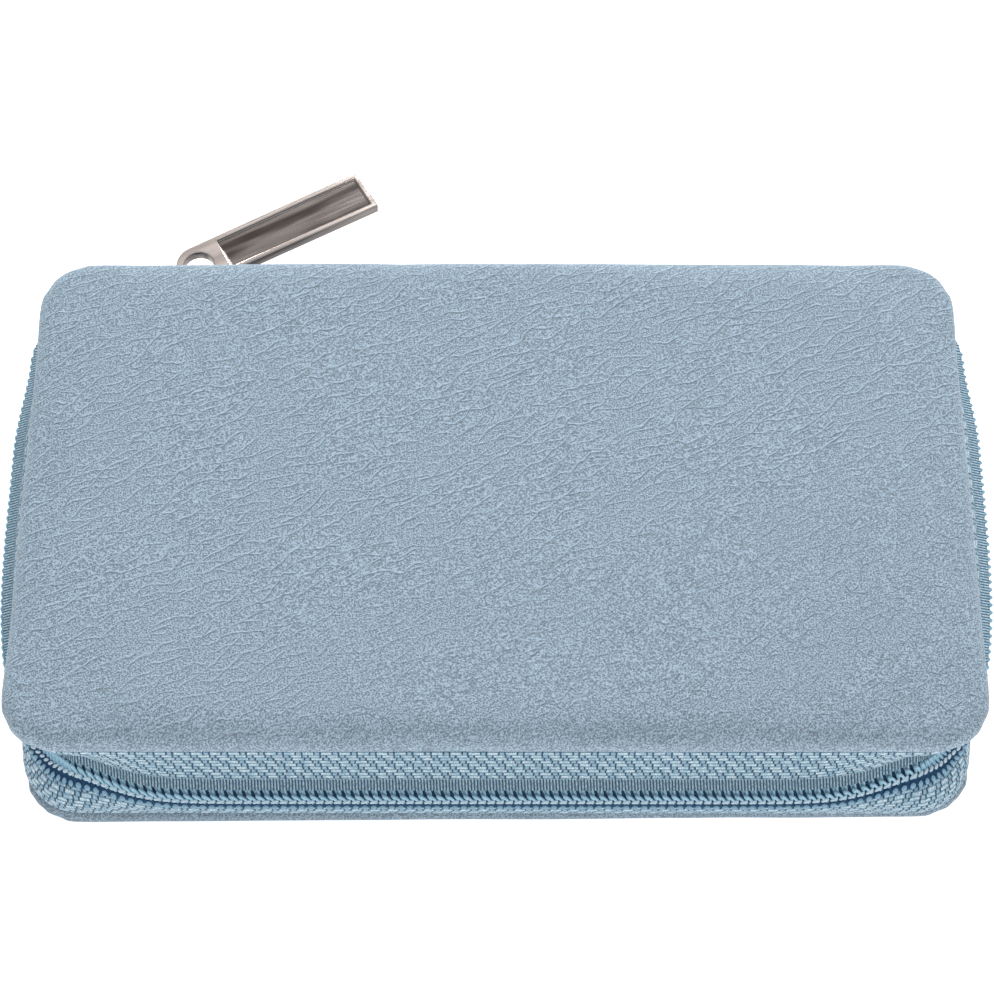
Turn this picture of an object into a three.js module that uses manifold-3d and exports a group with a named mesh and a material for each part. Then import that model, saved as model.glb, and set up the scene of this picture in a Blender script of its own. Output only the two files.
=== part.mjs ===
// A zipped manicure set case in pebbled leatherette, with the instruments that it holds.
// Millimetres. +X is the case's right side, +Y its spine, at the back, and +Z up.
// The origin is the centre of the underside, on which the closed case stands.

import * as THREE from 'three';
import { mergeVertices } from 'three/addons/utils/BufferGeometryUtils.js';
import Module from 'manifold-3d';

const wasm = await Module();
wasm.setup();

// Driving dimensions of the case
const caseLength = 140;
const caseDepth = 82;
const cornerRadius = 9;
const wallHeight = 18.8;
const leather = 0.9;
const board = 0.9;
const baseFoam = 0.9;
const lidFoam = 1.8;
const lidCrown = 0.9;
const turnedEdge = 6;
const lining = 0.7;
const liningInset = 3.3;
const gap = 0.3;
const overrun = 2;

// Driving dimensions of the zip
const tape = 0.6;
const tapeInset = 1.2;
const tapeHem = 3.5;
const chainDrop = 0.4;
const tapeEdgeClear = 0.6;
const coilGap = 0.3;
const coilHeight = 1.7;
const coilThickness = 1.2;
const frontBelly = 1.9;
const sideBelly = 3.7;
const cornerPull = 6.1;
const pullReach = 12;

// Driving dimensions of the slider, its link and its pull tab
const sliderLength = 8.5;
const sliderTravel = 7.9;
const sliderPlate = 1;
const sliderFlange = 1;
const dividerThickness = 0.6;
const dividerLength = 2.2;
const bridgeBar = 0.8;
const bridgeOpening = 1.4;
const bridgeHeight = 1.6;
const linkWire = 1;
const linkBend = 2;
const linkStraight = 2;
const tabThickness = 1.8;
const tabEye = 4.7;
const tabEyeRim = 1.3;
const tabReach = 30.4;
const tabEndWidth = 7.6;
const tabRim = 0.9;
const tabRecess = 0.4;
const tabRestAngle = 29.4;

// Driving dimensions of the zip's ends, which the spine holds
const stopLength = 1.1;
const stopSlack = 0.5;
const tailLap = 3.2;

// Levels that follow from the stack of each panel
const halfLength = caseLength / 2;
const halfDepth = caseDepth / 2;
const panelThickness = (foam) => 2 * leather + foam + board + 3 * gap;
const baseTop = panelThickness(baseFoam);
const lidUnder = baseTop + wallHeight;
const lidTop = lidUnder + panelThickness(lidFoam);
const wallLow = baseTop + gap;
const wallHigh = lidUnder - gap;
const chainZ = (wallLow + wallHigh) / 2 - chainDrop;
const baseLiningLow = wallLow + tape + gap;
const baseFloor = baseLiningLow + lining;
const lidLiningHigh = wallHigh - tape - gap;
const lidCeiling = lidLiningHigh - lining;

// Places along the back: the slider has its travel up to the corner, and the spine ends beside it
const cornerX = halfLength - cornerRadius;
const cornerY = halfDepth - cornerRadius;
const sliderX = -(cornerX - gap - sliderTravel - sliderLength / 2);
const sliderRight = sliderX + sliderLength / 2;
const sliderLeft = sliderX - sliderLength / 2;
const coilStart = -sliderRight - stopSlack;
const spineHalfLength = coilStart - gap - stopLength - gap;
const tailEnd = -sliderLeft - gap;
const stubEnd = tailEnd + gap;

// Depths of the zip's layers, counted outwards from the case's outline
const tapeOut = -tapeInset;
const tapeIn = tapeOut - tape;
const coilIn = tapeOut + gap;
const coilOut = coilIn + coilThickness;

// Colours and finishes
const finish = {
  leather: { color: 0x9eb6ca, roughness: 0.62, metalness: 0 },
  tape: { color: 0x86aec6, roughness: 0.9, metalness: 0 },
  coil: { color: 0x3f7ca6, roughness: 0.5, metalness: 0 },
  foam: { color: 0xe9e4d8, roughness: 1, metalness: 0 },
  board: { color: 0x9a9288, roughness: 0.9, metalness: 0 },
  lining: { color: 0xb9c9d6, roughness: 0.95, metalness: 0 },
  metal: { color: 0x9b928c, roughness: 0.25, metalness: 1 },
  steel: { color: 0xc9ccd0, roughness: 0.22, metalness: 1 },
  grit: { color: 0x8f9aa6, roughness: 0.9, metalness: 0.2 },
  handle: { color: 0x8fa9bf, roughness: 0.45, metalness: 0 },
};

const group = new THREE.Group();

// Adds one named sub-part with a material of its own.
function addPart(name, geometry, look) {
  const mesh = new THREE.Mesh(geometry, new THREE.MeshStandardMaterial(finish[look]));
  mesh.name = name;
  group.add(mesh);
  return mesh;
}

// Turns every triangle of a closed geometry outwards, also after a mirrored copy.
function facingOut(geometry) {
  const bare = geometry.index ? geometry : mergeVertices(stripped(geometry));
  const at = bare.getAttribute('position');
  const index = bare.index;
  const [a, b, c] = [new THREE.Vector3(), new THREE.Vector3(), new THREE.Vector3()];
  let volume = 0;
  for (let i = 0; i < index.count; i += 3) {
    a.fromBufferAttribute(at, index.getX(i));
    b.fromBufferAttribute(at, index.getX(i + 1));
    c.fromBufferAttribute(at, index.getX(i + 2));
    volume += a.dot(b.cross(c));
  }
  if (volume < 0) {
    for (let i = 0; i < index.count; i += 3) {
      const second = index.getX(i + 1);
      index.setX(i + 1, index.getX(i + 2));
      index.setX(i + 2, second);
    }
  }
  return bare;
}

// A geometry with nothing but its positions.
function stripped(geometry) {
  const bare = geometry.clone();
  bare.deleteAttribute('normal');
  bare.deleteAttribute('uv');
  return bare;
}

// Solids for joining and cutting
function toSolid(geometry) {
  const welded = mergeVertices(stripped(geometry));
  const vertProperties = Float32Array.from(welded.getAttribute('position').array);
  const triVerts = Uint32Array.from(welded.index.array);
  return new wasm.Manifold(new wasm.Mesh({ numProp: 3, vertProperties, triVerts }));
}

function fromSolid(solid) {
  const mesh = solid.getMesh();
  const geometry = new THREE.BufferGeometry();
  geometry.setAttribute('position', new THREE.BufferAttribute(mesh.vertProperties, 3));
  geometry.setIndex(new THREE.BufferAttribute(mesh.triVerts, 1));
  return geometry;
}

function join(...geometries) {
  const [first, ...rest] = geometries.map(toSolid);
  return fromSolid(rest.reduce((whole, piece) => whole.add(piece), first));
}

function cut(geometry, ...tools) {
  return fromSolid(tools.map(toSolid).reduce((whole, tool) => whole.subtract(tool), toSolid(geometry)));
}

// A block between two opposite corners.
function block(low, high) {
  const [lx, ly, lz] = low;
  const [hx, hy, hz] = high;
  const box = new THREE.BoxGeometry(hx - lx, hy - ly, hz - lz);
  return box.translate((lx + hx) / 2, (ly + hy) / 2, (lz + hz) / 2);
}

// An upright round post between two levels.
const postSides = 16;
function post(x, y, radius, low, high) {
  const round = new THREE.CylinderGeometry(radius, radius, high - low, postSides);
  return round.rotateX(Math.PI / 2).translate(x, y, (low + high) / 2);
}

// An outline in the XY plane raised between two levels.
function plate(outline, low, high, holes = []) {
  const shape = new THREE.Shape(outline);
  holes.forEach((hole) => shape.holes.push(new THREE.Path(hole)));
  const raised = new THREE.ExtrudeGeometry(shape, { depth: high - low, bevelEnabled: false });
  return raised.translate(0, 0, low);
}

// A side profile in the XZ plane, as wide as the two given depths.
function profileAcross(profile, front, back) {
  const shape = new THREE.Shape(profile);
  const raised = new THREE.ExtrudeGeometry(shape, { depth: back - front, bevelEnabled: false });
  return raised.rotateX(Math.PI / 2).translate(0, back, 0);
}

// A cross-section in the YZ plane, run along X between two places.
function sectionAlong(section, left, right) {
  const shape = new THREE.Shape(section);
  const raised = new THREE.ExtrudeGeometry(shape, { depth: right - left, bevelEnabled: false });
  return raised.rotateY(Math.PI / 2).rotateX(Math.PI / 2).translate(left, 0, 0);
}

const points = (pairs) => pairs.map(([x, y]) => new THREE.Vector2(x, y));

// The case's outline: each station is a corner's centre, or a place between two, and a direction
const cornerSteps = 5;
const edgeBandShare = 0.8;
const edgeBand = cornerRadius * edgeBandShare;

function ringStations() {
  const stations = [];
  const signs = [[1, 1], [-1, 1], [-1, -1], [1, -1]];
  signs.forEach(([signX, signY], quarter) => {
    for (let step = 0; step <= cornerSteps; step += 1) {
      const angle = (quarter + step / cornerSteps) * (Math.PI / 2);
      stations.push({ x: signX * cornerX, y: signY * cornerY, angle });
    }
  });
  return stations;
}

// A point at an inset from the outline; past the edge band the rings shrink to the centre.
function planPoint(inset, station) {
  const radius = cornerRadius - Math.min(inset, edgeBand);
  const share = inset > edgeBand ? (halfDepth - inset) / (halfDepth - edgeBand) : 1;
  const x = (station.x + radius * Math.cos(station.angle)) * share;
  const y = (station.y + radius * Math.sin(station.angle)) * share;
  return [x, y];
}

// A turned dish pulled out into the case's plan: every ring of the lathe becomes a rounded
// rectangle. The profile gives insets from the outline, and levels, from centre to centre.
function panelSolid(profile) {
  const stations = ringStations();
  const turned = new THREE.LatheGeometry(points(profile.map(([inset, z]) => [halfDepth - inset, z])),
    stations.length);
  const at = turned.getAttribute('position');
  for (let i = 0; i < at.count; i += 1) {
    const station = stations[Math.floor(i / profile.length) % stations.length];
    const [inset, z] = profile[i % profile.length];
    const [x, y] = planPoint(inset, station);
    at.setXYZ(i, x, y, z);
  }
  return facingOut(mergeVertices(stripped(turned)));
}

// How far the padded face stands out at an inset, and the rings on which it is measured
const crownRingShares = [0, 0.35, 0.65, 0.85, 1];
const crownAt = (crown, share) => -crown * (1 - share ** 3);

function faceRings(inset, level, crown) {
  return crownRingShares.map((share) => [
    halfDepth - (halfDepth - inset) * share,
    level + crownAt(crown, share),
  ]);
}

// The half-round rim of a panel, from its outer face to its inner one
const rimSteps = 6;
function rimArc(centreInset, centreZ, radius) {
  const arc = [];
  for (let step = 1; step < rimSteps; step += 1) {
    const angle = (step / rimSteps) * Math.PI - Math.PI / 2;
    arc.push([centreInset - radius * Math.cos(angle), centreZ + radius * Math.sin(angle)]);
  }
  return arc;
}

// The leather of one panel, outer face down, turned round the edge and folded in under it
function coverSolid(foam, crown) {
  const thickness = panelThickness(foam);
  const rim = thickness / 2;
  const outerFace = faceRings(rim, 0, crown);
  const innerFace = faceRings(rim, leather, crown).reverse();
  return panelSolid([
    ...outerFace,
    ...rimArc(rim, rim, rim),
    [rim, thickness],
    [turnedEdge, thickness],
    [turnedEdge, thickness - leather],
    [rim, thickness - leather],
    ...rimArc(rim, rim, rim - leather).reverse(),
    ...innerFace,
  ]);
}

// The foam under the leather, outer face down
function foamSolid(foam, crown) {
  const inset = panelThickness(foam) / 2 + gap;
  const low = leather + gap;
  return panelSolid([...faceRings(inset, low, crown), [inset, low + foam], [halfDepth, low + foam]]);
}

// A flat sheet with the case's plan
function sheetSolid(inset, low, high) {
  return panelSolid([[halfDepth, low], [inset, low], [inset, high], [halfDepth, high]]);
}

const boardLow = (foam) => leather + gap + foam + gap;
function boardSolid(foam) {
  const inset = panelThickness(foam) / 2 + gap;
  return sheetSolid(inset, boardLow(foam), boardLow(foam) + board);
}

// The wall's stations, clockwise from the back right to the back left, with more on the straights
const sideSteps = 9;
const frontSteps = 18;
const stubSteps = 2;

function wallStations() {
  const stations = [];
  const run = (from, to, fromAngle, toAngle, steps) => {
    for (let step = stations.length ? 1 : 0; step <= steps; step += 1) {
      const share = step / steps;
      stations.push({
        x: THREE.MathUtils.lerp(from[0], to[0], share),
        y: THREE.MathUtils.lerp(from[1], to[1], share),
        angle: THREE.MathUtils.lerp(fromAngle, toAngle, share),
      });
    }
  };
  const quarterTurn = Math.PI / 2;
  const corner = (x, y, angle) => run([x, y], [x, y], angle, angle - quarterTurn, cornerSteps);
  run([stubEnd, cornerY], [cornerX, cornerY], quarterTurn, quarterTurn, stubSteps);
  corner(cornerX, cornerY, quarterTurn);
  run([cornerX, cornerY], [cornerX, -cornerY], 0, 0, sideSteps);
  corner(cornerX, -cornerY, 0);
  run([cornerX, -cornerY], [-cornerX, -cornerY], -quarterTurn, -quarterTurn, frontSteps);
  corner(-cornerX, -cornerY, -quarterTurn);
  run([-cornerX, -cornerY], [-cornerX, cornerY], -2 * quarterTurn, -2 * quarterTurn, sideSteps);
  corner(-cornerX, cornerY, -2 * quarterTurn);
  run([-cornerX, cornerY], [-stubEnd, cornerY], -3 * quarterTurn, -3 * quarterTurn, stubSteps);
  return withDistances(stations);
}

// Gives each station its distance along the outline from the middle of the front.
function withDistances(stations) {
  let travelled = 0;
  stations.forEach((station, i) => {
    if (i > 0) {
      const [x, y] = planPoint(0, station);
      const [lastX, lastY] = planPoint(0, stations[i - 1]);
      travelled += Math.hypot(x - lastX, y - lastY);
    }
    station.travelled = travelled;
  });
  stations.forEach((station) => {
    station.distance = Math.abs(station.travelled - travelled / 2);
  });
  return stations;
}

// How far the zip bellies out: most at the sides, less in front, and drawn in at the front corners.
const cornerArc = cornerRadius * (Math.PI / 2);
const sideStart = cornerX + cornerArc;
const sideEnd = sideStart + 2 * cornerY;

function bellyAt(distance) {
  const free = THREE.MathUtils.lerp(frontBelly, sideBelly,
    THREE.MathUtils.smoothstep(distance, cornerX, sideStart));
  const fromCorner = (distance - (cornerX + cornerArc / 2)) / pullReach;
  const drawn = cornerPull * Math.exp(-(fromCorner ** 2));
  return (free - drawn) * (1 - THREE.MathUtils.smoothstep(distance, sideEnd, sideEnd + cornerArc));
}

// The belly's share at a level: none at the panels, all of it half-way up.
function bellyShare(z) {
  const share = (z - wallLow) / (wallHigh - wallLow);
  return Math.sin(Math.PI * share) ** 2;
}

// The two coils part a little behind the case, where the slider's divider runs between them.
const coilSpread = tapeEdgeClear - coilGap / 2;
function spreadAt(distance) {
  return coilSpread * THREE.MathUtils.smoothstep(distance, sideEnd, sideEnd + cornerArc);
}

// A straight strip bent round the case. Its section is in (outwards, up).
function wallStrip(section, rise = () => 0) {
  const stations = wallStations();
  const shape = new THREE.Shape(points(section));
  const strip = new THREE.ExtrudeGeometry(shape,
    { depth: stations.length - 1, steps: stations.length - 1, bevelEnabled: false });
  const at = strip.getAttribute('position');
  for (let i = 0; i < at.count; i += 1) {
    const station = stations[Math.round(at.getZ(i))];
    const z = at.getY(i) + rise(station.distance);
    const out = at.getX(i) + bellyAt(station.distance) * bellyShare(z);
    const [x, y] = planPoint(-out, station);
    at.setXYZ(i, x, y, z);
  }
  return facingOut(strip);
}

// The tape's section: a hem under the panel's turned edge, and the wall up to the coil
const wallLevelShares = [0.25, 0.5, 0.75, 1];
function tapeSection(hemLevel, edgeLevel, up) {
  const levels = wallLevelShares.map((share) => THREE.MathUtils.lerp(hemLevel, edgeLevel, share));
  const hemTop = hemLevel + up * tape;
  return [
    [tapeOut, hemLevel],
    ...levels.map((level) => [tapeOut, level]),
    ...levels.slice().reverse().map((level) => [tapeIn, level]),
    [tapeIn, hemTop],
    [tapeIn - tapeHem, hemTop],
    [tapeIn - tapeHem, hemLevel],
  ];
}

const coilChamfer = 0.4;
function coilSection(nearLevel, up) {
  const farLevel = nearLevel + up * coilHeight;
  return [
    [coilIn, nearLevel],
    [coilOut - coilChamfer, nearLevel],
    [coilOut, nearLevel + up * coilChamfer],
    [coilOut, farLevel - up * coilChamfer],
    [coilOut - coilChamfer, farLevel],
    [coilIn, farLevel],
  ];
}

// Base panel, from the ground up
addPart('base_cover', coverSolid(baseFoam, 0), 'leather');
addPart('base_foam', foamSolid(baseFoam, 0), 'foam');
addPart('base_board', boardSolid(baseFoam), 'board');
addPart('base_lining', sheetSolid(liningInset, baseLiningLow, baseFloor), 'lining');

// Lid panel, turned over so that its padded face is on top
function overLid(geometry) {
  return geometry.rotateX(Math.PI).translate(0, 0, lidTop);
}
addPart('lid_cover', overLid(coverSolid(lidFoam, lidCrown)), 'leather');
addPart('lid_foam', overLid(foamSolid(lidFoam, lidCrown)), 'foam');
addPart('lid_board', overLid(boardSolid(lidFoam)), 'board');
addPart('lid_lining', sheetSolid(liningInset, lidCeiling, lidLiningHigh), 'lining');

// The zip's two tapes with their coils
addPart('lower_tape', wallStrip(tapeSection(wallLow, chainZ - tapeEdgeClear, 1)), 'tape');
addPart('upper_tape', wallStrip(tapeSection(wallHigh, chainZ + tapeEdgeClear, -1)), 'tape');
const lowerCoil = wallStrip(coilSection(chainZ - coilGap / 2, -1), (distance) => -spreadAt(distance));
addPart('lower_coil', lowerCoil, 'coil');
const upperCoil = wallStrip(coilSection(chainZ + coilGap / 2, 1), spreadAt);
addPart('upper_coil', upperCoil, 'coil');

// The spine: leather, board and lining between the two creases
const spineOuter = halfDepth;
const spineLayers = {
  cover: [spineOuter - leather, spineOuter],
  board: [spineOuter - tapeInset - board, spineOuter - tapeInset],
};
spineLayers.lining = [spineLayers.board[0] - gap - lining, spineLayers.board[0] - gap];
const spineBoardHalf = spineHalfLength - tailLap - gap;

function spineLayer([near, far], half, margin) {
  return block([-half, near, wallLow + margin], [half, far, wallHigh - margin]);
}
addPart('spine_cover', spineLayer(spineLayers.cover, spineHalfLength, 0), 'leather');
addPart('spine_board', spineLayer(spineLayers.board, spineBoardHalf, gap), 'board');
addPart('spine_lining', spineLayer(spineLayers.lining, spineHalfLength, gap), 'lining');

// A tail: the ends of both tapes, still one piece under the spine, with their coils sewn on
const tailStart = spineHalfLength - tailLap;
const coilSewn = 0.1;

function zipTail(side) {
  const outer = halfDepth + tapeOut;
  const inner = halfDepth + tapeIn;
  const along = (near, far) => [Math.min(side * near, side * far), Math.max(side * near, side * far)];
  const [left, right] = along(tailStart, tailEnd);
  const sheet = block([left, inner, wallLow + gap], [right, outer, wallHigh - gap]);
  const [slotLeft, slotRight] = along(spineHalfLength, tailEnd + overrun);
  const slot = block([slotLeft, inner - overrun, chainZ - tapeEdgeClear],
    [slotRight, outer + overrun, chainZ + tapeEdgeClear]);
  const [coilLeft, coilRight] = along(coilStart, tailEnd);
  const strand = (low) => block([coilLeft, outer - coilSewn, low],
    [coilRight, halfDepth + coilOut, low + coilHeight]);
  return join(cut(sheet, slot), strand(chainZ + tapeEdgeClear),
    strand(chainZ - tapeEdgeClear - coilHeight));
}

addPart('zip_tail_left', zipTail(-1), 'tape');
addPart('zip_tail_right', zipTail(1), 'tape');

// Stops: one clamp on each coil's end at the left, and one across both at the right
const upperStrand = [chainZ + tapeEdgeClear, chainZ + tapeEdgeClear + coilHeight];
const lowerStrand = [chainZ - tapeEdgeClear - coilHeight, chainZ - tapeEdgeClear];

function stopSolid(side, low, high) {
  const near = side * (coilStart - gap - stopLength);
  const far = side * (coilStart - gap);
  return block([Math.min(near, far), halfDepth + coilIn, low],
    [Math.max(near, far), halfDepth + coilOut, high]);
}
addPart('top_stop_upper', stopSolid(-1, ...upperStrand), 'metal');
addPart('top_stop_lower', stopSolid(-1, ...lowerStrand), 'metal');
addPart('bottom_stop', stopSolid(1, lowerStrand[0], upperStrand[1]), 'metal');

// The slider: two plates joined by the divider, with flanges over the coils
const sliderHalfHeight = tapeEdgeClear + coilHeight + gap + sliderFlange;
const outerPlateY = halfDepth + coilOut + gap;
const innerPlateY = halfDepth + tapeIn - gap;
const sliderShoulderShare = 0.55;
const sliderNoseShare = 0.6;

function sliderPlateOutline() {
  const half = sliderLength / 2;
  return points([
    [-half, -sliderHalfHeight * sliderNoseShare],
    [-half * sliderShoulderShare, -sliderHalfHeight],
    [half, -sliderHalfHeight],
    [half, sliderHalfHeight],
    [-half * sliderShoulderShare, sliderHalfHeight],
    [-half, sliderHalfHeight * sliderNoseShare],
  ]);
}

function uprightPlate(outline, near, far) {
  const shape = new THREE.Shape(outline);
  const raised = new THREE.ExtrudeGeometry(shape, { depth: far - near, bevelEnabled: false });
  return raised.rotateX(Math.PI / 2).translate(sliderX, far, chainZ);
}

function sliderSolid() {
  const outer = uprightPlate(sliderPlateOutline(), outerPlateY, outerPlateY + sliderPlate);
  const inner = uprightPlate(sliderPlateOutline(), innerPlateY - sliderPlate, innerPlateY);
  const divider = block(
    [sliderRight - dividerLength, innerPlateY - sliderPlate / 2, chainZ - dividerThickness / 2],
    [sliderRight, outerPlateY + sliderPlate / 2, chainZ + dividerThickness / 2]);
  const flangeLeft = sliderX - (sliderLength / 2) * sliderShoulderShare;
  const flange = (low) => block([flangeLeft, halfDepth + coilIn, low],
    [sliderRight, outerPlateY + sliderPlate / 2, low + sliderFlange]);
  return join(outer, inner, divider, flange(chainZ + sliderHalfHeight - sliderFlange),
    flange(chainZ - sliderHalfHeight));
}
addPart('slider_body', sliderSolid(), 'metal');

// The bridge: a low arch on the slider's outer plate, through which the link hangs
const bridgeFootY = outerPlateY + sliderPlate + gap;
const bridgeHalf = sliderLength / 2 - bridgeBar / 2;
const bridgeShoulder = 1.2;

function bridgeSolid() {
  const top = bridgeFootY + bridgeOpening + bridgeBar;
  const arch = points([
    [-bridgeHalf, bridgeFootY], [-bridgeHalf, top - bridgeShoulder],
    [-bridgeHalf + bridgeShoulder, top], [bridgeHalf - bridgeShoulder, top],
    [bridgeHalf, top - bridgeShoulder], [bridgeHalf, bridgeFootY],
    [bridgeHalf - bridgeBar, bridgeFootY], [bridgeHalf - bridgeBar, top - bridgeBar],
    [-bridgeHalf + bridgeBar, top - bridgeBar], [-bridgeHalf + bridgeBar, bridgeFootY],
  ].map(([x, y]) => [x + sliderX, y]));
  return facingOut(plate(arch, chainZ - bridgeHeight / 2, chainZ + bridgeHeight / 2));
}
addPart('slider_bridge', bridgeSolid(), 'metal');

// A flat oval ring of round wire: a torus whose two halves are moved apart along X
const wireSides = 8;
const ovalSteps = 24;
const middleShare = 0.01;

function ovalRing(bend, wireRadius, stretch) {
  const ring = mergeVertices(stripped(new THREE.TorusGeometry(bend, wireRadius, wireSides, ovalSteps)));
  const at = ring.getAttribute('position');
  for (let i = 0; i < at.count; i += 1) {
    const x = at.getX(i);
    const moved = Math.abs(x) > bend * middleShare ? Math.sign(x) * stretch : 0;
    at.setX(i, x + moved);
  }
  return ring;
}

// The link: a small wire oval through the bridge, which carries the pull tab
const bridgeBarY = bridgeFootY + bridgeOpening + bridgeBar / 2;
const linkStart = bridgeBarY - bridgeBar / 2 + linkBend - linkWire;
const linkEnd = linkStart + linkStraight;
const tabPivotY = linkEnd + linkBend;
const link = ovalRing(linkBend, linkWire / 2, linkStraight / 2);
link.rotateX(Math.PI / 2).rotateZ(Math.PI / 2).translate(sliderX, (linkStart + linkEnd) / 2, chainZ);
addPart('pull_link', link, 'metal');

// The pull tab: an eye at the link, a bar that widens to a square end, and a bare recessed panel
const eyeSteps = 24;
const eyeRadius = tabEye / 2 + tabEyeRim;
const eyeOffset = tabEye / 2 - tabEyeRim;
const recessNear = eyeRadius + tabRim;

function tabSolid() {
  const end = tabReach;
  const halfEnd = tabEndWidth / 2;
  const eye = [];
  for (let step = 0; step <= eyeSteps; step += 1) {
    const angle = Math.PI / 2 + (step / eyeSteps) * Math.PI;
    eye.push([eyeRadius * Math.cos(angle), eyeRadius * Math.sin(angle)]);
  }
  const outline = points([...eye, [end, -halfEnd], [end, halfEnd]]);
  const hole = new THREE.Path();
  hole.absarc(0, 0, tabEye / 2, 0, 2 * Math.PI);
  const half = tabThickness / 2;
  const bar = plate(outline, -half, half, [hole.getPoints(eyeSteps / 2)]);
  const slope = (halfEnd - eyeRadius) / end;
  const widthAt = (x) => eyeRadius + slope * x - tabRim;
  const panel = points([
    [recessNear, -widthAt(recessNear)], [end - tabRim, -widthAt(end - tabRim)],
    [end - tabRim, widthAt(end - tabRim)], [recessNear, widthAt(recessNear)],
  ]);
  const topRecess = plate(panel, half - tabRecess, half + overrun);
  const lowRecess = plate(panel, -half - overrun, -half + tabRecess);
  return cut(bar, topRecess, lowRecess).translate(eyeOffset, 0, 0);
}
const pullTab = addPart('pull_tab', tabSolid(), 'metal');
pullTab.rotation.z = THREE.MathUtils.degToRad(tabRestAngle);
pullTab.position.set(sliderX, tabPivotY, chainZ);

// The room between the back wall and the front one, and how far the tools keep from them
const roomHalf = halfDepth + tapeIn;
const clipperMargin = 3.7;
const scissorsMargin = 4.7;
const tweezersMargin = 6.2;
const fileSpacing = 6.5;
const pusherSpacing = 5;

// Nail scissors, held by one half in the base
const scissorsX = 2;
const halfThickness = 1.6;
const bladeLength = 30;
const bladeWidth = 5;
const shankWidth = 3;
const ringReach = 38;
const ringAside = 11.5;
const ringBend = 9.7;
const ringStretch = 3;
const ringWire = 1.3;
const bossRadius = 3.4;
const screwRadius = 1.2;
const screwHeadRadius = 2.6;
const screwHead = 0.6;
const scissorsLow = baseFloor + gap;
const scissorsY = roomHalf - scissorsMargin - ringAside - ringBend - ringWire;

function scissorsHalf(low, ringLevel, mirror) {
  const high = low + halfThickness;
  const blade = plate(points([
    [-bossRadius, -bladeWidth / 2], [bladeLength / 2, -bladeWidth / 2],
    [bladeLength, -bladeWidth / 4], [bladeLength, 0], [bladeLength / 2, bladeWidth / 4],
    [-bossRadius, bladeWidth / 4],
  ]), low, high);
  const boss = post(0, 0, bossRadius, low, high);
  const ringInner = [-ringReach + ringBend + ringStretch, ringAside];
  const shank = plate(points([
    [0, shankWidth / 2], [-shankWidth, -shankWidth / 2],
    [ringInner[0] - ringWire, ringInner[1] - shankWidth / 2 - ringWire],
    [ringInner[0] - ringWire, ringInner[1] + shankWidth / 2],
  ]), low, high);
  const ring = ovalRing(ringBend, ringWire, ringStretch).translate(-ringReach, ringAside, ringLevel);
  const hole = post(0, 0, screwRadius + gap, low - overrun, high + overrun);
  const whole = cut(join(blade, boss, shank, ring), hole);
  return facingOut(whole.scale(1, mirror, 1)).translate(scissorsX, scissorsY, 0);
}
const lowerHalfRing = scissorsLow + ringWire;
const upperHalfLow = scissorsLow + halfThickness + gap;
const upperHalfRing = upperHalfLow + halfThickness - ringWire;
addPart('scissors_held_half', scissorsHalf(scissorsLow, lowerHalfRing, 1), 'steel');
addPart('scissors_free_half', scissorsHalf(upperHalfLow, upperHalfRing, -1), 'steel');
const scissorsTop = upperHalfLow + halfThickness;
addPart('scissors_screw',
  join(post(scissorsX, scissorsY, screwRadius, scissorsLow, scissorsTop + gap + screwHead / 2),
    post(scissorsX, scissorsY, screwHeadRadius, scissorsTop + gap, scissorsTop + gap + screwHead)),
  'steel');

// Nail clippers: two leaves riveted at the tail, a pin through both and a lever that turns on it
const clipperX = 6;
const clipperWidth = 10;
const clipperY = -(roomHalf - clipperMargin - clipperWidth / 2);
const leaf = 1.2;
const leafNose = 6;
const leafTail = 44;
const noseRise = 0.7;
const jawOpen = 1.8;
const rivetX = -40;
const rivetRadius = 1.5;
const rivetHeadRadius = 2.4;
const pinRadius = 1.2;
const pinClear = 0.4;
const leverThickness = 1.2;
const leverLength = 48;
const leverWidth = 8;
const leverClear = 0.9;
const clipperLow = baseFloor + gap;
const leafFrontLevel = clipperLow + leaf + noseRise + jawOpen;
const leafTailLevel = clipperLow + leaf + gap;
const leverLow = leafFrontLevel + noseRise + leaf + leverClear;
const leverHigh = leverLow + leverThickness;

function leafHoles(low, high) {
  return [
    post(clipperX, clipperY, pinRadius + pinClear, low - overrun, high + overrun),
    post(clipperX + rivetX, clipperY, rivetRadius + gap, low - overrun, high + overrun),
  ];
}

function clipperLeaf(profile) {
  const placed = points(profile.map(([x, z]) => [x + clipperX, z]));
  const whole = profileAcross(placed, clipperY - clipperWidth / 2, clipperY + clipperWidth / 2);
  return cut(whole, ...leafHoles(clipperLow, leverLow));
}

addPart('clipper_lower_leaf', clipperLeaf([
  [-leafTail, clipperLow], [leafNose, clipperLow], [leafNose, clipperLow + leaf + noseRise],
  [leafNose - leaf, clipperLow + leaf + noseRise], [leafNose - 2 * leaf, clipperLow + leaf],
  [-leafTail, clipperLow + leaf],
]), 'steel');

addPart('clipper_upper_leaf', clipperLeaf([
  [-leafTail, leafTailLevel], [rivetX + rivetHeadRadius, leafTailLevel],
  [leafNose - 2 * leaf, leafFrontLevel + noseRise], [leafNose - leaf, leafFrontLevel],
  [leafNose, leafFrontLevel], [leafNose, leafFrontLevel + noseRise + leaf],
  [leafNose - 2 * leaf, leafFrontLevel + noseRise + leaf],
  [rivetX + rivetHeadRadius, leafTailLevel + leaf], [-leafTail, leafTailLevel + leaf],
]), 'steel');

const rivetTop = leafTailLevel + leaf + gap;
addPart('clipper_rivet',
  join(post(clipperX + rivetX, clipperY, rivetRadius, clipperLow, rivetTop + screwHead / 2),
    post(clipperX + rivetX, clipperY, rivetHeadRadius, rivetTop, rivetTop + screwHead)),
  'steel');
addPart('clipper_pin', post(clipperX, clipperY, pinRadius, clipperLow, leverHigh), 'steel');

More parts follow.
